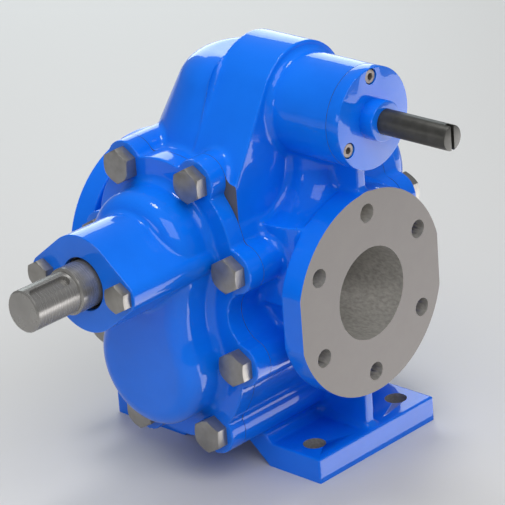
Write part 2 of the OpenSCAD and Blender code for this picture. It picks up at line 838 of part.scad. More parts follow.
// Slot with round ends, cut into a shaft at the keyway's turn
module key_slot(y0, y1, w, bottom, top) {
    rotate([0, key_turn, 0]) {
        translate([-w / 2, y0 + w / 2, bottom]) cube([w, y1 - y0 - w, top - bottom]);
        for (y = [y0 + w / 2, y1 - w / 2]) translate([0, y, bottom]) cylinder(d = w, h = top - bottom);
    }
}

gear_mid_y = (gear_y0 + gear_y1) / 2;
gear_key_bottom = shaft_d / 2 - gear_key_sink;

module gear_key() {
    key_slot(gear_mid_y - gear_key_len / 2 + fit_gap, gear_mid_y + gear_key_len / 2 - fit_gap,
        gear_key_w - 2 * fit_gap, gear_key_bottom + fit_gap, gear_key_bottom + gear_key_h);
}

module gear_key_slot() {
    key_slot(gear_mid_y - gear_key_len / 2, gear_mid_y + gear_key_len / 2,
        gear_key_w, gear_key_bottom, shaft_d);
}

shaft_rear_y = rear_len + gasket_t + bush_len;

module drive_shaft() {
    step_y = shaft_end_len - shaft_reach;
    key_y = step_y - end_key_set_back;
    end_r = shaft_end_d / 2;
    r = shaft_d / 2;
    c = shaft_chamfer;
    color("silver") at_pump() translate([0, 0, drive_z]) difference() {
        turn_y() polygon([
            [0, -shaft_rear_y], [r - c, -shaft_rear_y], [r, c - shaft_rear_y],
            [r, -step_y - c], [r - c, -step_y], [end_r, -step_y],
            [end_r, shaft_reach - c], [end_r - c, shaft_reach], [0, shaft_reach]
        ]);
        gear_key_slot();
        key_slot(key_y - end_key_len, key_y, end_key_w, end_r - end_key_depth, shaft_d);
    }
}

module driven_shaft() {
    front = front_len + gasket_t + bush_len;
    r = shaft_d / 2;
    c = shaft_chamfer;
    color("silver") at_pump() translate([0, 0, driven_z]) difference() {
        turn_y() polygon([
            [0, -shaft_rear_y], [r - c, -shaft_rear_y], [r, c - shaft_rear_y],
            [r, front - c], [r - c, front], [0, front]
        ]);
        gear_key_slot();
    }
}

module drive_gear_key() {
    color("dimgray") at_pump() translate([0, 0, drive_z]) gear_key();
}

module driven_gear_key() {
    color("dimgray") at_pump() translate([0, 0, driven_z]) gear_key();
}

// Plain bush from y0 to y1
module bush(y0, y1, z) {
    color("goldenrod") at_pump() difference() {
        rod_y(bush_r - fit_gap, y0, y1, 0, z);
        rod_y(shaft_d / 2 + bush_clearance, y0 - over, y1 + over, 0, z);
    }
}

module drive_front_bush() {
    bush(-cover_seat[0] - bush_len, -cover_seat[0], drive_z);
}

module driven_front_bush() {
    bush(-cover_seat[0] - bush_len, -cover_seat[0], driven_z);
}

module drive_rear_bush() {
    bush(cover_seat[1], cover_seat[1] + bush_len, drive_z);
}

module driven_rear_bush() {
    bush(cover_seat[1], cover_seat[1] + bush_len, driven_z);
}

// Recess radius of the seal seat
seal_seat_r = seal_chamber_r - seal_seat_step;

module seal_cover() {
    color("royalblue") at_pump() translate([0, 0, drive_z]) difference() {
        along_y(-seal_cover_front, -gland_seat) gland_outline();
        rod_y(gland_bore_r, -seal_cover_front - over, -gland_seat + over);
        rod_y(seal_seat_r, -gland_seat - seal_seat_recess, -gland_seat + over);
        for (side = [-1, 1])
            rod_y(gland_bolt_d / 2 + bolt_clearance, -seal_cover_front - over, -gland_seat + over,
                side * gland_bolt_x);
    }
}

module seal_cover_gasket() {
    color("dimgray") at_pump() translate([0, 0, drive_z]) difference() {
        along_y(-gland_seat, -gland_face) gland_outline();
        rod_y(seal_chamber_r, -gland_seat - over, -gland_face + over);
        for (side = [-1, 1])
            rod_y(gland_bolt_d / 2 + bolt_clearance, -gland_seat - over, -gland_face + over,
                side * gland_bolt_x);
    }
}

module seal_cover_bolts() {
    color("darkgray") at_pump() for (side = [-1, 1])
        translate([side * gland_bolt_x, -seal_cover_front, drive_z])
            hex_bolt(gland_bolt_d, gland_bolt_len, gland_head_h, gland_head_af);
}

// Ring round the drive shaft from y0 to y1
module seal_part(y0, y1, inner, outer) {
    at_pump() difference() {
        rod_y(outer, y0, y1, 0, drive_z);
        rod_y(inner, y0 - over, y1 + over, 0, drive_z);
    }
}

seal_seat_y = -gland_seat - seal_seat_recess + seal_seat_len;
seal_ring_y = seal_seat_y + seal_face_gap + seal_ring_len;
seal_spring_y = seal_ring_y + seal_spring_len;
seal_running_r = shaft_d / 2 + seal_shaft_gap;
seal_outer_r = seal_chamber_r - seal_wall_gap;

module seal_seat() {
    color("dimgray")
        seal_part(seal_seat_y - seal_seat_len, seal_seat_y, seal_running_r, seal_seat_r - fit_gap);
}

module seal_ring() {
    color("black")
        seal_part(seal_ring_y - seal_ring_len, seal_ring_y, shaft_d / 2 + fit_gap, seal_outer_r);
}

module seal_collar() {
    color("silver")
        seal_part(seal_spring_y, -seal_chamber_y - over, shaft_d / 2 + fit_gap, seal_outer_r);
}

// Coil of round wire that winds up along +Z from 0 to len
coil_steps = 14;
module coil(mean_r, wire_d, len, turns) {
    pitch = (len - wire_d) / turns;
    reach = wire_d / 2 / pitch * 360;
    side = 5;
    swell = [for (i = [-side : side]) let (a = reach * sin(90 * i / side))
        [a, sqrt(max(0, pow(wire_d / 2, 2) - pow(a * pitch / 360, 2)))]];
    outer = [for (s = swell) (mean_r + s[1]) * [cos(s[0]), sin(s[0])]];
    inner = [for (i = [2 * side - 1 : -1 : 1]) let (s = swell[i])
        (mean_r - s[1]) * [cos(s[0]), sin(s[0])]];
    intersection() {
        translate([0, 0, wire_d / 2 - pitch / 2])
            linear_extrude(len - wire_d + pitch, twist = -(turns + 1) * 360,
                slices = coil_steps * (turns + 1), $fn = 4 * side)
                polygon(concat(outer, inner));
        cylinder(r = mean_r + wire_d, h = len);
    }
}

module seal_spring() {
    color("silver") at_pump() translate([0, seal_ring_y, drive_z]) rotate([-90, 0, 0])
        coil(seal_outer_r - seal_wire_d / 2, seal_wire_d, seal_spring_len, seal_turns);
}

module valve_seat() {
    color("goldenrod") at_pump() translate([0, 0, valve_z]) difference() {
        rod_x(seat_bore_r + seat_wall - fit_gap, seat_x - seat_len, seat_x);
        rod_x(seat_bore_r, seat_x - seat_len - over, seat_x + over);
    }
}

// Disc valve with four guide wings in the seat and a spigot for the spring
module relief_poppet() {
    face_x = seat_x + wing_gap;
    wing_len = seat_len + wing_gap + over;
    color("silver") at_pump() translate([0, 0, valve_z]) {
        rod_x(poppet_r, face_x, seat_x + poppet_t);
        rod_x(spring_spigot_r, seat_x + poppet_t - over, seat_x + poppet_t + poppet_spigot);
        intersection() {
            rod_x(seat_bore_r - wing_gap, seat_x - seat_len, face_x + over);
            union() {
                translate([seat_x - seat_len, -seat_bore_r, -wing_t / 2])
                    cube([wing_len, 2 * seat_bore_r, wing_t]);
                translate([seat_x - seat_len, -wing_t / 2, -seat_bore_r])
                    cube([wing_len, wing_t, 2 * seat_bore_r]);
            }
        }
    }
}

// Radius of the spigots that centre the relief spring
spring_spigot_r = spring_od / 2 - spring_wire_d - spring_spigot_gap;

module relief_spring() {
    color("silver") at_pump() translate([seat_x + poppet_t, 0, valve_z]) rotate([0, 90, 0])
        coil(spring_od / 2 - spring_wire_d / 2, spring_wire_d, spring_len, spring_turns);
}

module spring_plate() {
    color("dimgray") at_pump() translate([0, 0, valve_z]) difference() {
        union() {
            rod_x(plate_r, plate_x, plate_x + plate_t);
            rod_x(spring_spigot_r, plate_x - plate_spigot, plate_x + over);
        }
        rod_x(spindle_d / 2 + tip_side_gap, plate_x + plate_t - tip_depth, plate_x + plate_t + over);
    }
}

module adjusting_spindle() {
    r = spindle_d / 2 - thread_relief;
    c = shaft_chamfer;
    x0 = plate_x + plate_t - tip_depth;
    color("dimgray") at_pump() difference() {
        turn_x(valve_z) polygon([
            [0, x0], [r - c, x0], [r, x0 + c],
            [r, spindle_reach - c], [r - c, spindle_reach], [0, spindle_reach]
        ]);
        translate([spindle_reach - spindle_slot_depth, -spindle_slot_w / 2, valve_z - spindle_d])
            cube([spindle_slot_depth + over, spindle_slot_w, 2 * spindle_d]);
    }
}

// Centres of the valve cover screws about the valve axis, as points of the YZ plane
screw_points = [for (a = [90, 210, 330]) screw_circle_r * [cos(a), sin(a)]];
screw_head_h = screw_d;
spigot_ring_x = bonnet_x - spigot_len / 2;
spigot_ring_r = chamber_r - o_ring_d / 2;
stem_ring_x = bonnet_end_x + valve_boss_h - stem_ring_depth;
stem_ring_r = spindle_d / 2 + stem_ring_d / 2;
// Room for a ring along its groove
groove_gap = 0.4;

// Square-sided groove about the valve axis for a ring of thickness d, from radius r0 to r1
module ring_groove(x, r0, r1, d) {
    w = d + groove_gap;
    difference() {
        rod_x(r1, x - w / 2, x + w / 2);
        rod_x(r0, x - w, x + w);
    }
}

module valve_cover() {
    color("royalblue") at_pump() translate([0, 0, valve_z]) difference() {
        union() {
            rod_x(bonnet_r, bonnet_x, bonnet_end_x);
            rod_x(valve_boss_r, bonnet_end_x - over, bonnet_end_x + valve_boss_h);
            rod_x(chamber_r - spigot_gap, bonnet_x - spigot_len, bonnet_x + over);
        }
        rod_x(spindle_d / 2, bonnet_x - spigot_len - over, bonnet_end_x + valve_boss_h + over);
        for (p = screw_points) {
            rod_x(screw_d / 2 + bolt_clearance, bonnet_x - over, bonnet_end_x + over, p[0], p[1]);
            rod_x(counterbore_d / 2, bonnet_end_x - counterbore_depth, bonnet_end_x + over, p[0], p[1]);
        }
        ring_groove(spigot_ring_x, chamber_r - o_ring_d, chamber_r + over, o_ring_d);
        ring_groove(stem_ring_x, 0, spindle_d / 2 + stem_ring_d, stem_ring_d);
    }
}

// Rubber ring about the valve axis
module o_ring(x, r, d) {
    color("black") at_pump() translate([x, 0, 0]) turn_x(valve_z) translate([r, 0]) circle(d = d);
}

module valve_cover_o_ring() {
    o_ring(spigot_ring_x, spigot_ring_r, o_ring_d);
}

module spindle_o_ring() {
    o_ring(stem_ring_x, stem_ring_r, stem_ring_d);
}

module valve_cover_screws() {
    seat = bonnet_end_x - counterbore_depth;
    color("darkgoldenrod") at_pump() for (p = screw_points) translate([0, p[0], valve_z + p[1]])
        difference() {
            union() {
                rod_x(screw_head_d / 2, seat, seat + screw_head_h);
                rod_x(screw_d / 2 - fit_gap, bonnet_x - screw_len + over, seat + over);
            }
            translate([seat + screw_head_h / 2, 0, 0]) rotate([0, 90, 0])
                cylinder(r = socket_af / 2 / cos(30), h = screw_head_h, $fn = 6);
        }
}

pump_body();
front_cover();
rear_cover();
front_gasket();
rear_gasket();
front_cover_bolts();
rear_cover_bolts();
dowel_pins();
drive_shaft();
drive_gear();
drive_gear_key();
driven_shaft();
driven_gear();
driven_gear_key();
drive_front_bush();
drive_rear_bush();
driven_front_bush();
driven_rear_bush();
seal_cover();
seal_cover_gasket();
seal_cover_bolts();
seal_seat();
seal_ring();
seal_spring();
seal_collar();
valve_seat();
relief_poppet();
relief_spring();
spring_plate();
adjusting_spindle();
spindle_o_ring();
valve_cover();
valve_cover_o_ring();
valve_cover_screws();
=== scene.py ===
# %% [markdown]
# A gear pump on its feet, in blue enamel, with bright bolts and shaft.
# The measured solids come first, as a fixed frame. Everything after this cell dresses them:
# castings get their soft corners and paint, machined faces stay bare and crisp.

# %% Load the measured solids
import json
import math

import bmesh
import bpy
import numpy as np
from mathutils import Matrix, Vector

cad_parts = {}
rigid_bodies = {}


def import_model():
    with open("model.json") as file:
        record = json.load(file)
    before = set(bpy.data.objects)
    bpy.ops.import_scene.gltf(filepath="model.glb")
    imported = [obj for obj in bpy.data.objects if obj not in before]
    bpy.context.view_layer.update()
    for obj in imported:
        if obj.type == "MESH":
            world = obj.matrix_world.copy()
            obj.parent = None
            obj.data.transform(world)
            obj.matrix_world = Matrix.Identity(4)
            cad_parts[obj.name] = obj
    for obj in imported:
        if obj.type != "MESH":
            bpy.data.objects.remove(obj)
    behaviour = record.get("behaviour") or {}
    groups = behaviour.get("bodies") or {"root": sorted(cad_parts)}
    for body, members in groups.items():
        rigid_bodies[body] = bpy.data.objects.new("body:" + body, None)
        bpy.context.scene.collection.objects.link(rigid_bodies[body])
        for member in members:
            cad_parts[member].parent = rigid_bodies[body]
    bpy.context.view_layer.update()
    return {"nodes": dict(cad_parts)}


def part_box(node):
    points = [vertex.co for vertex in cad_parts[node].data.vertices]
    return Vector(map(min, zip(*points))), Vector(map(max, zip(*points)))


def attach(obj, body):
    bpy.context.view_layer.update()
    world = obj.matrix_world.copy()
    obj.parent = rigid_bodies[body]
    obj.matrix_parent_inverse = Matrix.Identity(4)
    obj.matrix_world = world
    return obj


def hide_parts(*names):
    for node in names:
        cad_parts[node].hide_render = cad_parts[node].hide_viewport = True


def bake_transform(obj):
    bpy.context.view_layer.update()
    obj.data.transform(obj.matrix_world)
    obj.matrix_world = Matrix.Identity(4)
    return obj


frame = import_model()
nodes = frame["nodes"]
scene = bpy.context.scene

# %% [markdown]
# The camera stands where the photographer's stood. Its place, its long lens and its slight roll
# were worked out from the ellipses of the port flange and the parallel edges of the feet.
# A long lens from far away keeps parallel edges almost parallel, which gives the calm product look.

# %% Camera
PHOTO_SIDE = 505
FOCAL_PIXELS = 2990.341
LENS = 213.2
CAMERA_PLACE = (1.85266, -1.90163, 1.30041)
AZIMUTH, ELEVATION, ROLL = math.radians(44.657), math.radians(22.881), math.radians(-4.400)

camera_data = bpy.data.cameras.new("photo_camera")
camera_data.lens = LENS
camera_data.sensor_width = camera_data.lens * PHOTO_SIDE / FOCAL_PIXELS
camera = bpy.data.objects.new("photo_camera", camera_data)
scene.collection.objects.link(camera)
scene.camera = camera

back = Vector((math.sin(AZIMUTH) * math.cos(ELEVATION),
               -math.cos(AZIMUTH) * math.cos(ELEVATION),
               math.sin(ELEVATION)))
level_right = Vector((math.cos(AZIMUTH), math.sin(AZIMUTH), 0))
level_up = back.cross(level_right)
right = level_right * math.cos(ROLL) + level_up * math.sin(ROLL)
up = back.cross(right)
turn = Matrix((right, up, back)).transposed()
camera.matrix_world = Matrix.Translation(CAMERA_PLACE) @ turn.to_4x4()
camera_data.clip_start = 0.1
camera_data.clip_end = 60
print("camera at", tuple(camera.location), "lens", camera_data.lens)

# %% [markdown]
# A finish is a small tree of nodes on a Principled shader. The first helper starts one and hands
# back its parts, and the others add noise, a ramp of colours, a bump or a range of values, so that
# each finish below only says what is special about it.
# Patterns read Object coordinates, which are metres here, so a scale of 500 has a 2 mm grain.

# %% Helpers for finishes
def start_finish(name, colour, metallic, roughness):
    material = bpy.data.materials.new(name)
    material.use_nodes = True
    tree = material.node_tree
    shader = tree.nodes["Principled BSDF"]
    shader.inputs["Base Color"].default_value = (*colour, 1)
    shader.inputs["Metallic"].default_value = metallic
    shader.inputs["Roughness"].default_value = roughness
    where = tree.nodes.new("ShaderNodeTexCoord").outputs["Object"]
    return material, tree, shader, where


def add_noise(tree, where, scale, detail, stretch=(1, 1, 1)):
    mapping = tree.nodes.new("ShaderNodeMapping")
    mapping.inputs["Scale"].default_value = stretch
    noise = tree.nodes.new("ShaderNodeTexNoise")
    noise.inputs["Scale"].default_value = scale
    noise.inputs["Detail"].default_value = detail
    tree.links.new(where, mapping.inputs["Vector"])
    tree.links.new(mapping.outputs["Vector"], noise.inputs["Vector"])
    return noise.outputs["Fac"]


def add_ramp(tree, value, stops):
    ramp = tree.nodes.new("ShaderNodeValToRGB")
    while len(ramp.color_ramp.elements) < len(stops):
        ramp.color_ramp.elements.new(0.5)
    for element, (position, colour) in zip(ramp.color_ramp.elements, stops):
        element.position = position
        element.color = (*colour, 1)
    tree.links.new(value, ramp.inputs["Fac"])
    return ramp.outputs["Color"]


def add_bump(tree, shader, height, distance, strength, under=None):
    bump = tree.nodes.new("ShaderNodeBump")
    bump.inputs["Distance"].default_value = distance
    bump.inputs["Strength"].default_value = strength
    tree.links.new(height, bump.inputs["Height"])
    if under:
        tree.links.new(under, bump.inputs["Normal"])
    tree.links.new(bump.outputs["Normal"], shader.inputs["Normal"])
    return bump.outputs["Normal"]


def add_range(tree, value, low, high):
    span = tree.nodes.new("ShaderNodeMapRange")
    span.inputs["To Min"].default_value = low
    span.inputs["To Max"].default_value = high
    tree.links.new(value, span.inputs["Value"])
    return span.outputs["Result"]


# %% [markdown]
# Blue enamel over cast iron. The paint is thick and glossy, so it gets a coat with its own sharp
# reflections over a softer blue that has no gloss of its own. The iron's skin under it shows as a
# faint slow unevenness, and the spray leaves a fine orange peel.

# %% Blue enamel
ENAMEL_BLUE = (0.0015, 0.155, 0.800)
enamel, tree, shader, where = start_finish("blue_enamel", ENAMEL_BLUE, metallic=0.0, roughness=0.45)
shader.inputs["Specular IOR Level"].default_value = 0.05
shader.inputs["Coat Weight"].default_value = 0.9
shader.inputs["Coat Roughness"].default_value = 0.05
shader.inputs["Coat IOR"].default_value = 1.44
cloud = add_noise(tree, where, scale=14, detail=3)
shade = add_ramp(tree, cloud, [(0.35, (0.001, 0.145, 0.760)), (0.65, (0.002, 0.165, 0.840))])
tree.links.new(shade, shader.inputs["Base Color"])
skin = add_noise(tree, where, scale=60, detail=2)
lumps = add_bump(tree, shader, skin, distance=0.0006, strength=0.30)
peel = add_noise(tree, where, scale=900, detail=1)
add_bump(tree, shader, peel, distance=0.0001, strength=0.25, under=lumps)
tree.links.new(lumps, shader.inputs["Coat Normal"])

# %% [markdown]
# Machined faces are bare iron. Freshly cut cast iron is a dull warm grey that scatters light widely,
# so little of it is metallic here. The bores are brighter and carry the ripples of a boring bar,
# which are much deeper than the grain of a milled face.

# %% Machined iron
machined, tree, shader, where = start_finish("machined_iron", (0.16, 0.148, 0.139),
                                             metallic=0.25, roughness=0.50)
patch = add_noise(tree, where, scale=35, detail=4)
shade = add_ramp(tree, patch, [(0.3, (0.132, 0.121, 0.113)), (0.7, (0.152, 0.140, 0.131))])
tree.links.new(shade, shader.inputs["Base Color"])
tree.links.new(add_range(tree, patch, low=0.44, high=0.56), shader.inputs["Roughness"])
grain = add_noise(tree, where, scale=1400, detail=2)
add_bump(tree, shader, grain, distance=0.00005, strength=0.4)

# %% Bored iron
bored, tree, shader, where = start_finish("bored_iron", (0.40, 0.386, 0.36),
                                          metallic=0.35, roughness=0.40)
ripple = add_noise(tree, where, scale=420, detail=4, stretch=(0.5, 1, 1))
shade = add_ramp(tree, ripple, [(0.3, (0.32, 0.308, 0.288)), (0.7, (0.48, 0.465, 0.435))])
tree.links.new(shade, shader.inputs["Base Color"])
add_bump(tree, shader, ripple, distance=0.0006, strength=0.6)

# %% [markdown]
# The bolts are plain steel with a warm tone. Tumbling has rounded their shine, and each carries
# small scuffs, so colour and roughness both wander a little.

# %% Bolt steel
bolt_steel, tree, shader, where = start_finish("bolt_steel", (0.30, 0.29, 0.27),
                                               metallic=0.75, roughness=0.36)
scuff = add_noise(tree, where, scale=120, detail=4)
shade = add_ramp(tree, scuff, [(0.3, (0.265, 0.255, 0.238)), (0.7, (0.330, 0.318, 0.298))])
tree.links.new(shade, shader.inputs["Base Color"])
tree.links.new(add_range(tree, scuff, low=0.32, high=0.44), shader.inputs["Roughness"])
grain = add_noise(tree, where, scale=2200, detail=2)
add_bump(tree, shader, grain, distance=0.00003, strength=0.4)

# %% [markdown]
# The shaft is ground, so its marks run round it: a noise that is stretched out sideways and
# pressed together along the shaft draws fine rings at any angle.

# %% Ground steel
ground, tree, shader, where = start_finish("ground_steel", (0.30, 0.292, 0.278),
                                           metallic=0.60, roughness=0.28)
rings = add_noise(tree, where, scale=60, detail=5, stretch=(1, 40, 1))
shade = add_ramp(tree, rings, [(0.3, (0.28, 0.273, 0.26)), (0.7, (0.32, 0.312, 0.298))])
tree.links.new(shade, shader.inputs["Base Color"])
tree.links.new(add_range(tree, rings, low=0.22, high=0.31), shader.inputs["Roughness"])
add_bump(tree, shader, rings, distance=0.00001, strength=0.3)

# %% [markdown]
# The hidden parts still come into view through the port or when the model is taken apart, so each
# has its own finish: oiled gear steel, bored bronze, dark carbon, drawn wire, fibre sheet and
# rubber. The black spindle and the plated screws are plain enough to be made the same way. One
# function is enough for all of them, because they differ only in colour, shine and grain.

# %% Inner finishes
def plain_finish(name, dark, light, metallic, roughness, grain, depth):
    material, tree, shader, where = start_finish(name, light, metallic, roughness)
    patch = add_noise(tree, where, scale=grain, detail=4)
    tree.links.new(add_ramp(tree, patch, [(0.3, dark), (0.7, light)]), shader.inputs["Base Color"])
    shine = add_range(tree, patch, low=roughness - 0.06, high=roughness + 0.08)
    tree.links.new(shine, shader.inputs["Roughness"])
    skin = add_noise(tree, where, scale=grain * 8, detail=2)
    add_bump(tree, shader, skin, distance=depth, strength=0.5)
    return material


gear_steel = plain_finish("gear_steel", (0.20, 0.195, 0.19), (0.30, 0.29, 0.28),
                          metallic=0.95, roughness=0.30, grain=120, depth=0.00004)
bronze = plain_finish("bush_bronze", (0.34, 0.20, 0.07), (0.48, 0.30, 0.12),
                      metallic=0.95, roughness=0.30, grain=90, depth=0.00004)
carbon = plain_finish("seal_carbon", (0.012, 0.012, 0.013), (0.022, 0.022, 0.024),
                      metallic=0.1, roughness=0.25, grain=60, depth=0.00002)
wire = plain_finish("spring_wire", (0.24, 0.24, 0.25), (0.34, 0.34, 0.35),
                    metallic=1.0, roughness=0.28, grain=200, depth=0.00003)
fibre = plain_finish("gasket_fibre", (0.030, 0.030, 0.028), (0.060, 0.058, 0.052),
                     metallic=0.0, roughness=0.85, grain=800, depth=0.0001)
rubber = plain_finish("black_rubber", (0.008, 0.008, 0.008), (0.016, 0.016, 0.016),
                      metallic=0.0, roughness=0.55, grain=300, depth=0.00003)
black_steel = plain_finish("blackened_steel", (0.055, 0.055, 0.050), (0.080, 0.078, 0.072),
                           metallic=0.6, roughness=0.40, grain=150, depth=0.00003)
plated = plain_finish("plated_screw", (0.14, 0.116, 0.102), (0.20, 0.167, 0.147),
                      metallic=0.45, roughness=0.36, grain=200, depth=0.00003)

# %% [markdown]
# Each node of the measured part gets one finish, by its name. The pieces that are made anew further
# down take theirs from this list or from their own cell, and the rest keep what they get here.

# %% Which finish goes on which node
NODE_FINISH = {
    "pump_body": enamel, "front_cover": enamel, "rear_cover": enamel,
    "seal_cover": enamel, "valve_cover": enamel,
    "front_cover_bolts": bolt_steel, "rear_cover_bolts": bolt_steel, "seal_cover_bolts": bolt_steel,
    "drive_shaft": ground, "driven_shaft": ground, "dowel_pins": ground,
    "seal_collar": ground, "relief_poppet": ground,
    "drive_gear": gear_steel, "driven_gear": gear_steel,
    "drive_gear_key": gear_steel, "driven_gear_key": gear_steel,
    "drive_front_bush": bronze, "drive_rear_bush": bronze,
    "driven_front_bush": bronze, "driven_rear_bush": bronze, "valve_seat": bronze,
    "seal_seat": carbon, "seal_ring": carbon,
    "seal_spring": wire, "relief_spring": wire,
    "front_gasket": fibre, "rear_gasket": fibre, "seal_cover_gasket": fibre,
    "spindle_o_ring": rubber, "valve_cover_o_ring": rubber,
    "spring_plate": black_steel, "adjusting_spindle": black_steel,
    "valve_cover_screws": plated,
}
for name, material in NODE_FINISH.items():
    for slot in nodes[name].material_slots:
        slot.material = material
print("nodes without a finish:", sorted(set(nodes) - set(NODE_FINISH)))

# %% [markdown]
# The castings. Liquid iron doesn't fill a sharp corner, so a cast piece has soft edges, and the
# pattern maker fills every inner corner with a round. Beveling all those crossing edges one by one
# would never end. Melting does it at once: the skin of the measured solid is closed, rebuilt from
# small cubes, swollen until its inner corners run together and shrunk back. That rounds the outer
# edges far too much, so the crisp skin is joined to it again, and both are rebuilt from finer cubes.
# Bores and flat seats come after that, as in the machine shop, so they stay crisp.

# %% Helpers for copying a node and picking its faces
bpy.context.tool_settings.mesh_select_mode = (False, False, True)
SAME_POINT = 0.000002


def pick_only(piece):
    bpy.ops.object.select_all(action="DESELECT")
    bpy.context.view_layer.objects.active = piece
    piece.select_set(True)


def copy_node(name, piece_name):
    piece = bpy.data.objects.new(piece_name, nodes[name].data.copy())
    scene.collection.objects.link(piece)
    pick_only(piece)
    bpy.ops.object.mode_set(mode="EDIT")
    bpy.ops.mesh.select_all(action="SELECT")
    bpy.ops.mesh.remove_doubles(threshold=SAME_POINT)
    bpy.ops.object.mode_set(mode="OBJECT")
    return piece


def faces_where(piece, test):
    count = len(piece.data.polygons)
    centres, normals = np.empty(3 * count), np.empty(3 * count)
    piece.data.polygons.foreach_get("center", centres)
    piece.data.polygons.foreach_get("normal", normals)
    return test(centres.reshape(-1, 3), normals.reshape(-1, 3))


def edit_faces(piece, test):
    pick_only(piece)
    mesh = piece.data
    mesh.vertices.foreach_set("select", np.zeros(len(mesh.vertices), dtype=bool))
    mesh.edges.foreach_set("select", np.zeros(len(mesh.edges), dtype=bool))
    mesh.polygons.foreach_set("select", faces_where(piece, test))
    bpy.ops.object.mode_set(mode="EDIT")


def apply_modifier(piece, kind, **settings):
    modifier = piece.modifiers.new(kind, kind)
    for key, value in settings.items():
        setattr(modifier, key, value)
    pick_only(piece)
    bpy.ops.object.modifier_apply(modifier=modifier.name)


# %% [markdown]
# A bore is a round hole about a line from one point to another. A seat is a flat that a cutter
# makes: an axis, the place along it and the side that is cut away. With both as plain data, one
# test tells for any face whether it is the wall of a bore, a seat, or cast skin. The joint planes
# also touch the flat sides of the port flanges, which stay cast, so seats across Y end before them.

# %% Bores and seats
X, Y, Z = 0, 1, 2
FLANGE_BACK = 0.124
PAST_END, OFF_WALL, OFF_PLANE = 0.0001, 0.00003, 0.00002
CROSSWISE, SQUARE = 0.03, 0.999


def bore(start, end, radius):
    return np.array(start), np.array(end), radius


def in_bores(points, normals, bores):
    found = np.zeros(len(points), dtype=bool)
    for start, end, radius in bores:
        run = (end - start) / np.linalg.norm(end - start)
        along = (points - start) @ run
        away = np.linalg.norm(points - start - along[:, None] * run, axis=1)
        within = (along > -PAST_END) & (along < np.linalg.norm(end - start) + PAST_END)
        lean = abs(normals @ run)
        found |= within & (away < radius + OFF_WALL) & ((lean < CROSSWISE) | (lean > SQUARE))
    return found


def on_seats(points, normals, seats):
    found = np.zeros(len(points), dtype=bool)
    for axis, place, side in seats:
        on_plane = (abs(points[:, axis] - place) < OFF_PLANE) & (normals[:, axis] * side > SQUARE)
        if axis == Y:
            on_plane &= abs(points[:, X]) < FLANGE_BACK
        found |= on_plane
    return found


# %% [markdown]
# The core of a casting is the shape of its hollows. Here it is taken from the node itself: the
# walls of the bores are split off, both shapes are closed, and the flat ends of the core are
# pulled out a little, so that it will cut right through the melted skin. Those ends are found by
# their corners: a wall of a bore is made of triangles, and an end that closes it has many more.

# %% Skin and core
CORE_REACH, FACING = 0.008, 0.7


def close_holes(piece):
    pick_only(piece)
    bpy.ops.object.mode_set(mode="EDIT")
    bpy.ops.mesh.select_all(action="SELECT")
    bpy.ops.mesh.fill_holes(sides=0)
    bpy.ops.mesh.select_all(action="SELECT")
    bpy.ops.mesh.normals_make_consistent(inside=False)
    bpy.ops.object.mode_set(mode="OBJECT")


def pull_out(piece, test, direction, length):
    edit_faces(piece, test)
    move = tuple(length * part for part in direction)
    bpy.ops.mesh.extrude_region_move(TRANSFORM_OT_translate={"value": move})
    bpy.ops.object.mode_set(mode="OBJECT")


def split_core(piece, bores, flats):
    edit_faces(piece, lambda c, n: in_bores(c, n, bores) & ~on_seats(c, n, flats))
    bpy.ops.mesh.separate(type="SELECTED")
    bpy.ops.object.mode_set(mode="OBJECT")
    core = next(other for other in bpy.context.selected_objects if other != piece)
    close_holes(piece)
    close_holes(core)
    for direction in ((1, 0, 0), (-1, 0, 0), (0, 1, 0), (0, -1, 0), (0, 0, 1), (0, 0, -1)):
        sides = np.array([len(face.vertices) for face in core.data.polygons])
        pull_out(core, lambda c, n: (sides > 4) & (n @ np.array(direction) > FACING),
                 direction, CORE_REACH)
    return core


# %% [markdown]
# Melting follows the foundry: each seat first gets some iron to spare, then the skin is swollen and
# shrunk back a hair further than it was, so that the crisp skin stays outside it on the flats. A
# mill is a block that reaches well past the casting, and a weld joins two closed shapes.

# %% Melting and machining
ALLOWANCE = 0.006
SHY = 0.00025
COARSE = 1.25
WIDE, TALL, BELOW, CUT = 0.2, 0.5, -0.1, 0.05


def swell(piece, cube, distance):
    apply_modifier(piece, "REMESH", mode="VOXEL", voxel_size=cube)
    apply_modifier(piece, "DISPLACE", strength=distance, mid_level=0)


def melt(piece, seats, cube, fill, soften, most_faces):
    for axis, place, side in seats:
        direction = [0, 0, 0]
        direction[axis] = side
        pull_out(piece, lambda c, n: on_seats(c, n, [(axis, place, side)]), direction, ALLOWANCE)
    crisp = bpy.data.objects.new("crisp_skin", piece.data.copy())
    scene.collection.objects.link(crisp)
    swell(piece, COARSE * cube, fill)
    swell(piece, COARSE * cube, -fill - SHY)
    apply_modifier(piece, "REMESH", mode="VOXEL", voxel_size=COARSE * cube)
    apply_modifier(piece, "SMOOTH", factor=0.5, iterations=4)
    apply_modifier(piece, "BOOLEAN", operation="UNION", solver="MANIFOLD", object=crisp)
    bpy.data.objects.remove(crisp)
    apply_modifier(piece, "REMESH", mode="VOXEL", voxel_size=cube)
    apply_modifier(piece, "SMOOTH", factor=0.5, iterations=soften)
    share = most_faces / (2 * len(piece.data.polygons))
    print(piece.name, "cubes:", len(piece.data.polygons), "share kept:", share)
    if share < 1:
        apply_modifier(piece, "DECIMATE", ratio=share)


def cut_away(piece, cutter):
    apply_modifier(piece, "BOOLEAN", operation="DIFFERENCE", solver="MANIFOLD", object=cutter)
    bpy.data.objects.remove(cutter)


def block(low, high):
    middle = [(a + b) / 2 for a, b in zip(low, high)]
    bpy.ops.mesh.primitive_cube_add(size=1, location=middle)
    shape = bpy.context.object
    shape.scale = [b - a for a, b in zip(low, high)]
    bpy.ops.object.transform_apply(location=True, rotation=True, scale=True)
    return shape


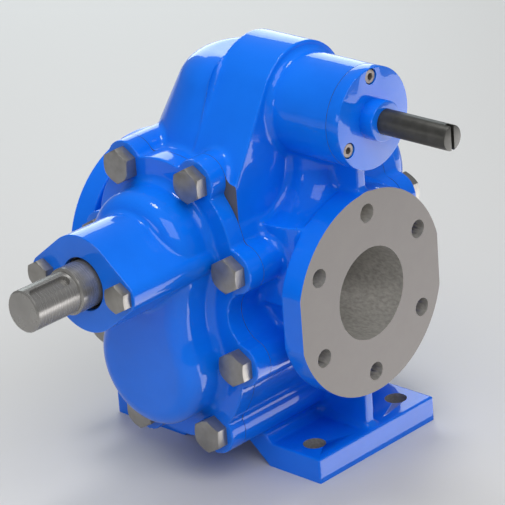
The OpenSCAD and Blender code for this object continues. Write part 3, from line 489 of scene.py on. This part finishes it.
def mill(piece, low, high):
    cut_away(piece, block(low, high))


def weld(piece, other):
    apply_modifier(piece, "BOOLEAN", operation="UNION", solver="MANIFOLD", object=other)
    bpy.data.objects.remove(other)


def finish_casting(piece, node, bores, seats, flats):
    piece.data.materials.clear()
    for material in (enamel, machined, bored):
        piece.data.materials.append(material)
    kinds = faces_where(piece, lambda c, n: np.where(
        on_seats(c, n, seats), 1, np.where(in_bores(c, n, bores) & ~on_seats(c, n, flats), 2, 0)))
    piece.data.polygons.foreach_set("material_index", kinds.astype(np.int32))
    pick_only(piece)
    bpy.ops.object.shade_smooth_by_angle(angle=math.radians(40))
    piece.data.polygons.foreach_set("use_smooth", kinds != 1)
    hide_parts(node)
    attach(piece, "housing")
    print(piece.name, "faces:", len(piece.data.polygons))


# %% [markdown]
# Places that the castings share, read from the frame where a node gives them. The bolts that hold
# the covers stand on two arcs, one round each gear axis, and two dowels face each other.

# %% Shared places
PORT_Y = -0.025
PORT_Z = 0.182
DRIVE_Z, DRIVEN_Z = 0.236, 0.128
VALVE_Z = 0.3575
BODY_FRONT, BODY_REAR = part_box("front_gasket")[1][Y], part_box("rear_gasket")[0][Y]
COVER_FRONT_SEAT, COVER_REAR_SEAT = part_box("front_gasket")[0][Y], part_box("rear_gasket")[1][Y]
PORT_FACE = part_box("pump_body")[1][X]
print("joint faces:", BODY_FRONT, BODY_REAR, COVER_FRONT_SEAT, COVER_REAR_SEAT, "port face:", PORT_FACE)

HALF_SPAN, BOLT_CIRCLE, DOWEL_CIRCLE = 0.054, 0.085, 0.0744
BOLT_ANGLES, DOWEL_ANGLE = (math.radians(32), math.radians(95)), math.radians(63)
bolt_places = []
for side in (-1, 1):
    for end in (-1, 1):
        for angle in BOLT_ANGLES:
            x = side * BOLT_CIRCLE * math.sin(angle)
            z = PORT_Z + end * (HALF_SPAN + BOLT_CIRCLE * math.cos(angle))
            bolt_places.append((x, z))
dowel_places = [(side * DOWEL_CIRCLE * math.sin(DOWEL_ANGLE),
                 PORT_Z + side * (HALF_SPAN + DOWEL_CIRCLE * math.cos(DOWEL_ANGLE)))
                for side in (-1, 1)]
print("cover bolts:", len(bolt_places), "dowels:", len(dowel_places))


def along_y(places, radius, start, end):
    return [bore((x, start, z), (x, end, z), radius) for x, z in places]


# %% [markdown]
# The pump body is one casting: two gear chambers, a flanged port on each side, the casing of the
# relief valve across the top, and feet. Its holes are listed one by one as they stand in the
# measured solid, because this list decides which faces are bright and which stay cast.

# %% Holes in the joint faces
CHAMBER, BOLT_HOLE, BOLT_HOLE_DEPTH = 0.0628, 0.010, 0.038
DOWEL_HOLE, DOWEL_HOLE_DEPTH = 0.005, 0.015
body_bores = along_y([(0, DRIVE_Z), (0, DRIVEN_Z)], CHAMBER, BODY_FRONT, BODY_REAR)
body_bores += along_y(bolt_places, BOLT_HOLE, BODY_FRONT, BODY_FRONT + BOLT_HOLE_DEPTH)
body_bores += along_y(bolt_places, BOLT_HOLE, BODY_REAR - BOLT_HOLE_DEPTH, BODY_REAR)
body_bores += along_y(dowel_places, DOWEL_HOLE, BODY_FRONT, BODY_FRONT + DOWEL_HOLE_DEPTH)
body_bores += along_y(dowel_places, DOWEL_HOLE, BODY_REAR - DOWEL_HOLE_DEPTH, BODY_REAR)

# %% Ports and passages of the relief valve
PORT_BORE, SPRING_CHAMBER, SPRING_CHAMBER_END = 0.045, 0.033, -0.034
INLET_X, INLET = 0.088, 0.015
OUTLET_START, OUTLET_END, OUTLET = (-0.030, PORT_Y, VALVE_Z), (-0.1201, PORT_Y, 0.2125), 0.018
body_bores += [bore((-PORT_FACE, PORT_Y, PORT_Z), (PORT_FACE, PORT_Y, PORT_Z), PORT_BORE)]
body_bores += [bore((SPRING_CHAMBER_END, PORT_Y, VALVE_Z), (PORT_FACE, PORT_Y, VALVE_Z),
                    SPRING_CHAMBER)]
body_bores += [bore((INLET_X, PORT_Y, PORT_Z), (INLET_X, PORT_Y, VALVE_Z), INLET)]
body_bores += [bore(OUTLET_START, OUTLET_END, OUTLET)]

# %% Holes in the flanges, feet and bonnet
FLANGE_HOLE, FLANGE_HOLE_CIRCLE, FLANGE_HOLE_START = 0.009, 0.080, 0.110
FOOT_HOLE, FOOT_HOLE_X, FOOT_HOLE_Y, FOOT_TOP = 0.011, 0.0955, 0.0595, 0.025
TAPPED_HOLE, TAPPED_DEPTH, SCREW_CIRCLE = 0.004, 0.024, 0.040
for side in (-1, 1):
    for number in range(6):
        angle = number * math.radians(60)
        y = PORT_Y + FLANGE_HOLE_CIRCLE * math.sin(angle)
        z = PORT_Z + FLANGE_HOLE_CIRCLE * math.cos(angle)
        body_bores += [bore((side * FLANGE_HOLE_START, y, z), (side * PORT_FACE, y, z), FLANGE_HOLE)]
    for y in (-FOOT_HOLE_Y, FOOT_HOLE_Y):
        x = side * FOOT_HOLE_X
        body_bores += [bore((x, y, 0), (x, y, FOOT_TOP), FOOT_HOLE)]
screw_places = [(PORT_Y + SCREW_CIRCLE * math.cos(math.radians(angle)),
                 VALVE_Z + SCREW_CIRCLE * math.sin(math.radians(angle))) for angle in (90, 210, 330)]
for y, z in screw_places:
    body_bores += [bore((PORT_FACE - TAPPED_DEPTH, y, z), (PORT_FACE, y, z), TAPPED_HOLE)]
print("holes in the body:", len(body_bores))

# %% Skin and core of the body
FLANGE_THICK = 0.024
body_seats = [(Y, BODY_FRONT, -1), (Y, BODY_REAR, 1), (X, PORT_FACE, 1), (X, -PORT_FACE, -1),
              (Z, 0, -1)]
body_flats = body_seats + [(Z, FOOT_TOP, 1), (X, PORT_FACE - FLANGE_THICK, -1),
                           (X, FLANGE_THICK - PORT_FACE, 1)]
body = copy_node("pump_body", "body_casting")
body_core = split_core(body, body_bores, body_flats)
print("skin", len(body.data.polygons), "core", len(body_core.data.polygons))

# %% [markdown]
# Two forms of the casting were seen too late for the measured solid, so they are shaped here. The
# valve casing's left end is lower and rounder than its middle. Scaling the old end would have bent
# its walls, so a half profile is turned about an upright axis, drawn out towards the casing,
# trimmed and joined in its place. The left foot reaches out as far as the left flange.

# %% Rounded end
END_AXIS, END_FLANGE = 0.003, 0.017
TOP, CORNER, SHOULDER, LEAN = 0.038, 0.039, 0.059, math.radians(26)
SKIRT_RISE, ARC_STEPS, TOUCH = 0.034, 16, 0.00001
corner_x, corner_z = SHOULDER - CORNER * math.cos(LEAN), VALVE_Z + TOP - CORNER
skirt_z = DRIVE_Z + SKIRT_RISE
skirt_x = SHOULDER + (corner_z + CORNER * math.sin(LEAN) - skirt_z) * math.tan(LEAN)
outline = [(0, DRIVE_Z), (skirt_x, DRIVE_Z), (skirt_x, skirt_z)]
for step in range(ARC_STEPS + 1):
    angle = LEAN + (math.pi / 2 - LEAN) * step / ARC_STEPS
    outline.append((corner_x + CORNER * math.cos(angle), corner_z + CORNER * math.sin(angle)))
outline.append((0, VALVE_Z + TOP))

profile = bpy.data.meshes.new("rounded_end")
profile.from_pydata([(END_AXIS + reach, PORT_Y, height) for reach, height in outline],
                    [(number, number + 1) for number in range(len(outline) - 1)], [])
rounded_end = bpy.data.objects.new("rounded_end", profile)
scene.collection.objects.link(rounded_end)
pick_only(rounded_end)
bpy.ops.object.mode_set(mode="EDIT")
bpy.ops.mesh.select_all(action="SELECT")
bpy.ops.mesh.spin(steps=96, angle=2 * math.pi, center=(END_AXIS, PORT_Y, 0), axis=(0, 0, 1))
bpy.ops.mesh.select_all(action="SELECT")
bpy.ops.mesh.remove_doubles(threshold=TOUCH)
bpy.ops.mesh.normals_make_consistent(inside=False)
bpy.ops.object.mode_set(mode="OBJECT")

# %% Join the end and the left foot
OVERLAP = 0.001
LEFT_OF_END, OLD_END_CUT = -0.12, 0.338
FOOT_INSIDE, FOOT_ROOT, FOOT_HALF = 0.0005, -0.120, 0.0835
edit_faces(rounded_end, lambda c, n: c[:, X] > END_AXIS + TOUCH)
bpy.ops.transform.translate(value=(END_FLANGE - END_AXIS + OVERLAP, 0, 0))
bpy.ops.object.mode_set(mode="OBJECT")
room = block((LEFT_OF_END, BODY_FRONT, DRIVE_Z + OVERLAP), (END_FLANGE + OVERLAP / 2, BODY_REAR, TALL))
apply_modifier(rounded_end, "BOOLEAN", operation="INTERSECT", solver="MANIFOLD", object=room)
bpy.data.objects.remove(room)
mill(body, (LEFT_OF_END, BODY_FRONT - OVERLAP, OLD_END_CUT), (END_FLANGE, BODY_REAR + OVERLAP, TALL))
weld(body, rounded_end)
weld(body, block((FOOT_INSIDE - PORT_FACE, -FOOT_HALF, 0), (FOOT_ROOT, FOOT_HALF, FOOT_TOP)))
print("skin with its end and foot", len(body.data.polygons))

# %% [markdown]
# The skin is melted, then the five seats are milled and the core is taken out of it. The rear cut
# stays above the foot, which reaches out behind the joint.

# %% Melt and machine the body
melt(body, body_seats, cube=0.0012, fill=0.004, soften=3, most_faces=185000)
mill(body, (-FLANGE_BACK, BODY_FRONT - CUT, BELOW), (FLANGE_BACK, BODY_FRONT, TALL))
mill(body, (-FLANGE_BACK, BODY_REAR, FOOT_TOP + OVERLAP / 2), (FLANGE_BACK, BODY_REAR + CUT, TALL))
for side in (-1, 1):
    ends = sorted((side * PORT_FACE, side * (PORT_FACE + CUT)))
    mill(body, (ends[0], -WIDE, BELOW), (ends[1], WIDE, TALL))
mill(body, (-WIDE, -WIDE, -CUT), (WIDE, WIDE, 0))
cut_away(body, body_core)
finish_casting(body, "pump_body", body_bores, body_seats, body_flats)

# %% [markdown]
# The two covers are castings too, melted and machined in the same way, so one function makes both.
# The gland that sticks out of the front one has a face of its own for the seal's cover.

# %% Covers
COVER_THICK, BUSH_SEAT, BUSH_SEAT_DEPTH = 0.018, 0.03005, 0.052
CLEARANCE_HOLE, HEAD_HEIGHT, COVER_DOWEL_DEPTH = 0.0105, 0.0125, 0.014


def cast_cover(node, piece_name, seat, front, extra_bores, extra_seats, most_faces):
    deep = math.copysign(1, front - seat)
    shafts = [(0, DRIVE_Z), (0, DRIVEN_Z)]
    bores = along_y(shafts, BUSH_SEAT, *sorted((seat, seat + deep * BUSH_SEAT_DEPTH)))
    bores += along_y(bolt_places, CLEARANCE_HOLE, *sorted((seat, front + deep * HEAD_HEIGHT)))
    bores += along_y(dowel_places, DOWEL_HOLE, *sorted((seat, seat + deep * COVER_DOWEL_DEPTH)))
    bores += extra_bores
    seats = [(Y, seat, -deep)] + extra_seats
    flats = seats + [(Y, front, deep)]
    piece = copy_node(node, piece_name)
    core = split_core(piece, bores, flats)
    melt(piece, seats, cube=0.0010, fill=0.003, soften=4, most_faces=most_faces)
    for axis, place, side in seats:
        ends = sorted((place, place + side * CUT))
        mill(piece, (-WIDE, ends[0], BELOW), (WIDE, ends[1], TALL))
    cut_away(piece, core)
    finish_casting(piece, node, bores, seats, flats)


# %% Cast both covers
GLAND_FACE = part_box("front_cover")[0][Y]
GLAND_BORE, SEAL_CHAMBER, SEAL_CHAMBER_END = 0.0255, 0.032, -0.183
GLAND_BOLT_X, GLAND_BOLT_HOLE, GLAND_BOLT_DEPTH = 0.050, 0.008, 0.025
gland_bolts = [(-GLAND_BOLT_X, DRIVE_Z), (GLAND_BOLT_X, DRIVE_Z)]
gland_bores = along_y([(0, DRIVE_Z)], GLAND_BORE, GLAND_FACE, COVER_FRONT_SEAT)
gland_bores += along_y([(0, DRIVE_Z)], SEAL_CHAMBER, GLAND_FACE, SEAL_CHAMBER_END)
gland_bores += along_y(gland_bolts, GLAND_BOLT_HOLE, GLAND_FACE, GLAND_FACE + GLAND_BOLT_DEPTH)
cast_cover("front_cover", "front_cover_casting", COVER_FRONT_SEAT, COVER_FRONT_SEAT - COVER_THICK,
           gland_bores, [(Y, GLAND_FACE, -1)], most_faces=150000)
cast_cover("rear_cover", "rear_cover_casting", COVER_REAR_SEAT, COVER_REAR_SEAT + COVER_THICK,
           [], [], most_faces=120000)

# %% [markdown]
# The pump was painted when it stood assembled, so the thin edges of its gaskets are blue, and only
# their flats, inside the joints, show the fibre.

# %% Gaskets
def paint_gasket(node, piece_name):
    piece = copy_node(node, piece_name)
    piece.data.materials.clear()
    piece.data.materials.append(fibre)
    piece.data.materials.append(enamel)
    kinds = faces_where(piece, lambda c, n: np.where(abs(n[:, Y]) < 0.5, 1, 0))
    piece.data.polygons.foreach_set("material_index", kinds.astype(np.int32))
    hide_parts(node)
    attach(piece, "housing")


for name in ("front_gasket", "rear_gasket", "seal_cover_gasket"):
    paint_gasket(name, name + "_painted")

# %% [markdown]
# Turned and forged pieces keep the shape of their node. No real edge is a perfect corner, though:
# a fine bevel on every sharp edge catches a thin line of light, which is what makes metal read
# as metal. Edges that lie in a joint stay sharp, so that the joint closes to a hair line: each edge
# gets a bevel weight, and the modifier only takes those that have one.

# %% Pieces with a fine bevel
def weigh_edges(piece, angle, joint):
    edges = bmesh.new()
    edges.from_mesh(piece.data)
    weights = [0.0] * len(edges.edges)
    for edge in edges.edges:
        in_joint = joint is not None and all(abs(end.co[Y] - joint) < TOUCH for end in edge.verts)
        weights[edge.index] = float(edge.calc_face_angle(0) > angle and not in_joint)
    edges.free()
    piece.data.attributes.new("bevel_weight_edge", "FLOAT", "EDGE")
    piece.data.attributes["bevel_weight_edge"].data.foreach_set("value", weights)


def bevel_node(node, piece_name, body, width, joint=None):
    sharp = math.radians(25)
    piece = copy_node(node, piece_name)
    bpy.ops.object.mode_set(mode="EDIT")
    bpy.ops.mesh.select_all(action="SELECT")
    bpy.ops.mesh.dissolve_limited(angle_limit=math.radians(0.5))
    bpy.ops.object.mode_set(mode="OBJECT")
    weigh_edges(piece, sharp, joint)
    apply_modifier(piece, "BEVEL", width=width, segments=2, limit_method="WEIGHT")
    bpy.ops.object.shade_smooth_by_angle(angle=sharp)
    for slot_of_piece in piece.material_slots:
        slot_of_piece.material = NODE_FINISH[node]
    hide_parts(node)
    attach(piece, body)
    print(piece.name, "faces:", len(piece.data.polygons))


for name in ("front_cover_bolts", "rear_cover_bolts", "seal_cover_bolts"):
    bevel_node(name, name + "_bevelled", "housing", width=0.0005)
seal_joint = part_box("seal_cover")[1][Y]
bevel_node("seal_cover", "seal_cover_plate", "housing", width=0.0007, joint=seal_joint)
bevel_node("valve_cover_screws", "socket_screws", "housing", width=0.0004)
bevel_node("drive_shaft", "drive_shaft_ground", "drive_rotor", width=0.0006)

# %% [markdown]
# The round cover of the relief valve is a turned part, so it is made as on a lathe: a flange and a
# boss with rounded rims and a plain spigot behind them, all on one axis, joined to one piece. Then
# the hole for the spindle and the three stepped screw holes are drilled.

# %% Valve cover
def rod_x(radius, start, end, y=PORT_Y, z=VALVE_Z):
    bpy.ops.object.select_all(action="DESELECT")
    bpy.ops.mesh.primitive_cylinder_add(vertices=128, radius=radius, depth=end - start,
                                        rotation=(0, math.pi / 2, 0),
                                        location=((start + end) / 2, y, z))
    bpy.ops.object.transform_apply(location=True, rotation=True, scale=True)
    return bpy.context.object


def turned_disc(radius, start, end, rim):
    disc = rod_x(radius, start, end)
    edit_faces(disc, lambda c, n: abs(n[:, X]) > 0.99)
    bpy.ops.mesh.bevel(offset=rim, segments=3, affect="EDGES")
    bpy.ops.object.mode_set(mode="OBJECT")
    return disc


BONNET, BONNET_RIM, SPIGOT = 0.048, 0.0008, 0.0328
BOSS, BOSS_RIM, BOSS_HEIGHT = 0.019, 0.0012, 0.015
SPINDLE_BORE, SCREW_HOLE, COUNTERBORE, COUNTERBORE_DEPTH = 0.012, 0.0045, 0.0075, 0.009
cover_low, cover_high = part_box("valve_cover")
cover_front = cover_high[X] - BOSS_HEIGHT
valve_cover = turned_disc(BONNET, PORT_FACE, cover_front, BONNET_RIM)
weld(valve_cover, turned_disc(BOSS, cover_front - OVERLAP, cover_high[X], BOSS_RIM))
weld(valve_cover, rod_x(SPIGOT, cover_low[X], PORT_FACE + OVERLAP))
cut_away(valve_cover, rod_x(SPINDLE_BORE, cover_low[X] - OVERLAP, cover_high[X] + OVERLAP))
for y, z in screw_places:
    cut_away(valve_cover, rod_x(SCREW_HOLE, PORT_FACE - OVERLAP, cover_front + OVERLAP, y, z))
    step_start = cover_front - COUNTERBORE_DEPTH
    cut_away(valve_cover, rod_x(COUNTERBORE, step_start, cover_front + OVERLAP, y, z))
valve_cover.name = "valve_cover_turned"
valve_cover.data.materials.clear()
valve_cover.data.materials.append(enamel)
pick_only(valve_cover)
bpy.ops.object.shade_smooth_by_angle(angle=math.radians(25))
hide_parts("valve_cover")
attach(valve_cover, "housing")
print("valve cover:", len(valve_cover.data.polygons), "faces")

# %% [markdown]
# The adjusting spindle is threaded where it runs in the cover, and plain outside. Painted rings
# would show as flat at the edge, so the thread is real: one tooth is drawn as a short line, the
# Screw modifier winds it round the axis a pitch at a time, and the plain shank is welded on. A bar
# with bevelled ends trims both, and the screwdriver slot is milled last.

# %% Adjusting spindle
spindle_low, spindle_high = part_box("adjusting_spindle")
PITCH, THREAD_DEPTH, WINDINGS_TO_SPARE = 0.003, 0.0017, 4
CREST = (spindle_high[Z] - spindle_low[Z]) / 2
ROOT = CREST - THREAD_DEPTH
SHANK_START, TO_TRIM, MERGE = 0.172, 0.0001, 0.000001
tooth = [(0, ROOT), (0.08, ROOT), (0.44, CREST), (0.56, CREST), (0.92, ROOT), (1, ROOT)]
profile = bpy.data.meshes.new("spindle_thread")
profile.from_pydata([(part * PITCH, 0, radius) for part, radius in tooth],
                    [(number, number + 1) for number in range(len(tooth) - 1)], [])
spindle = bpy.data.objects.new("spindle_turned", profile)
scene.collection.objects.link(spindle)
turns = math.ceil((SHANK_START - spindle_low[X]) / PITCH) + WINDINGS_TO_SPARE
apply_modifier(spindle, "SCREW", axis="X", screw_offset=PITCH, iterations=turns, steps=36,
               render_steps=36, use_merge_vertices=True, merge_threshold=MERGE)
bpy.ops.object.mode_set(mode="EDIT")
bpy.ops.mesh.select_all(action="SELECT")
bpy.ops.transform.translate(value=(spindle_low[X] - 2 * PITCH, PORT_Y, VALVE_Z))
bpy.ops.mesh.remove_doubles(threshold=MERGE)
for place, side in ((spindle_low[X] - OVERLAP / 2, -1), (SHANK_START, 1)):
    bpy.ops.mesh.select_all(action="SELECT")
    bpy.ops.mesh.bisect(plane_co=(place, 0, 0), plane_no=(side, 0, 0), use_fill=True, clear_outer=True)
bpy.ops.mesh.select_all(action="SELECT")
bpy.ops.mesh.normals_make_consistent(inside=False)
bpy.ops.object.mode_set(mode="OBJECT")
weld(spindle, rod_x(CREST + TO_TRIM, SHANK_START - OVERLAP, spindle_high[X] + OVERLAP / 2))

# %% Trim the spindle and mill its slot
END_BEVEL, SLOT_DEPTH, SLOT_HALF, SLOT_REACH = 0.0010, 0.007, 0.002, 0.02
bar = rod_x(CREST, spindle_low[X], spindle_high[X])
apply_modifier(bar, "BEVEL", width=END_BEVEL, segments=2, limit_method="ANGLE",
               angle_limit=math.radians(60))
apply_modifier(spindle, "BOOLEAN", operation="INTERSECT", solver="MANIFOLD", object=bar)
bpy.data.objects.remove(bar)
mill(spindle, (spindle_high[X] - SLOT_DEPTH, PORT_Y - SLOT_HALF, VALVE_Z - SLOT_REACH),
     (spindle_high[X] + OVERLAP, PORT_Y + SLOT_HALF, VALVE_Z + SLOT_REACH))
spindle.data.materials.clear()
spindle.data.materials.append(black_steel)
pick_only(spindle)
bpy.ops.object.shade_smooth_by_angle(angle=math.radians(25))
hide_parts("adjusting_spindle")
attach(spindle, "spindle")
print("spindle:", turns, "turns of thread,", len(spindle.data.polygons), "faces")

# %% [markdown]
# The relief spring is squeezed from both ends: the poppet lifts into it, and the plate is screwed
# in behind it. So it is cut in two at its middle, into a half at the poppet's end and a half at
# the plate's end.

# %% Relief spring
spring_low, spring_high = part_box("relief_spring")
SPRING_MIDDLE = (spring_low[X] + spring_high[X]) / 2


def half_spring(piece_name, side):
    half = copy_node("relief_spring", piece_name)
    bpy.ops.object.mode_set(mode="EDIT")
    bpy.ops.mesh.select_all(action="SELECT")
    bpy.ops.mesh.bisect(plane_co=(SPRING_MIDDLE, 0, 0), plane_no=(side, 0, 0), use_fill=True,
                        clear_outer=True)
    bpy.ops.object.mode_set(mode="OBJECT")
    half.data.materials.clear()
    half.data.materials.append(wire)
    bpy.ops.object.shade_smooth_by_angle(angle=math.radians(40))
    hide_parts("relief_spring")
    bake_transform(half)
    print(piece_name, "faces:", len(half.data.polygons))


half_spring("relief_spring_poppet_half", 1)
half_spring("relief_spring_plate_half", -1)

# %% [markdown]
# The pump stands on a wide pale floor that fills the picture, because the camera looks down on it.
# Its colour makes the white background, not more light, and it keeps the pump's soft shadow.

# %% Floor
FLOOR_HALF = 12
bpy.ops.object.select_all(action="DESELECT")
bpy.ops.mesh.primitive_plane_add(size=2 * FLOOR_HALF, location=(0, 0, 0))
floor = bpy.context.object
floor.name = "floor"
floor_finish, tree, shader, where = start_finish("pale_floor", (0.62, 0.61, 0.60),
                                                 metallic=0.0, roughness=0.60)
tone = add_noise(tree, where, scale=0.6, detail=1)
shade = add_ramp(tree, tone, [(0.3, (0.605, 0.597, 0.589)), (0.7, (0.635, 0.627, 0.619))])
tree.links.new(shade, shader.inputs["Base Color"])
floor.data.materials.append(floor_finish)

# %% [markdown]
# The lights were read from the photograph: wherever a highlight lies on a surface of known slant,
# the mirrored line of sight points at its lamp. That gave a key box high at the front right, a low
# cool box behind on the left, a strip at the front left and a small bright one overhead. Faces
# turned to the right mirror a bright patch of floor behind the pump, so a card lies there that
# only reflections see. A wide weak panel and two fills soften the shadows and show in no gloss.

# %% A soft box
PUMP_MIDDLE = (0, 0, 0.2)


def toward(azimuth, elevation, distance):
    flat, rise = math.radians(azimuth), math.radians(elevation)
    return (distance * math.cos(rise) * math.cos(flat), distance * math.cos(rise) * math.sin(flat),
            PUMP_MIDDLE[Z] + distance * math.sin(rise))


def add_softbox(name, place, size, radiance, colour=(1, 1, 1), target=PUMP_MIDDLE):
    light = bpy.data.lights.new(name, "AREA")
    light.shape = "RECTANGLE"
    light.size, light.size_y = size
    light.energy = radiance * math.pi * size[0] * size[1]
    light.color = colour
    box = bpy.data.objects.new(name, light)
    scene.collection.objects.link(box)
    box.location = place
    aim = (Vector(target) - Vector(place)).to_track_quat("-Z", "Y")
    box.rotation_euler = aim.to_euler()
    box.visible_camera = False
    return box


# %% Lamps that show in the gloss
COOL_WHITE, CARD_WHITE = (0.86, 0.97, 1.0), (1.0, 0.98, 0.99)
CARD_X, CARD_Y, CARD_Z = 0.865, 0.635, 0.003
add_softbox("key", toward(azimuth=-30, elevation=47, distance=3.0), size=(2.4, 1.8), radiance=2.6)
add_softbox("back_left", toward(azimuth=139, elevation=16, distance=3.0), size=(1.35, 1.8),
            radiance=2.8, colour=COOL_WHITE)
add_softbox("overhead", (-0.15, 0.1, 2.6), size=(0.5, 0.5), radiance=17, target=(0, 0, 0))
add_softbox("left_strip", toward(azimuth=-105, elevation=12, distance=2.5), size=(1.0, 0.5),
            radiance=2.7)

# %% Lamps that only fill, the floor card and the world
panel = add_softbox("wide_panel", (0, 0, 3.0), size=(8, 8), radiance=0.58, target=(0, 0, 0))
front_fill = add_softbox("front_fill", toward(azimuth=-75, elevation=12, distance=3.2),
                         size=(3.0, 1.6), radiance=0.75)
right_fill = add_softbox("right_fill", toward(azimuth=25, elevation=14, distance=3.2),
                         size=(2.4, 1.6), radiance=0.85)
for soft in (panel, front_fill, right_fill):
    soft.visible_glossy = False
card = add_softbox("floor_card", (CARD_X, CARD_Y, CARD_Z), size=(1.478, 1.436), radiance=3.0,
                   colour=CARD_WHITE, target=(CARD_X, CARD_Y, 2))
card.visible_diffuse = False

world = bpy.data.worlds.new("studio")
scene.world = world
world.use_nodes = True
sky = world.node_tree.nodes["Background"]
sky.inputs["Color"].default_value = (0.94, 0.97, 1.0, 1)
sky.inputs["Strength"].default_value = 0.16
scene.view_settings.view_transform = "Standard"
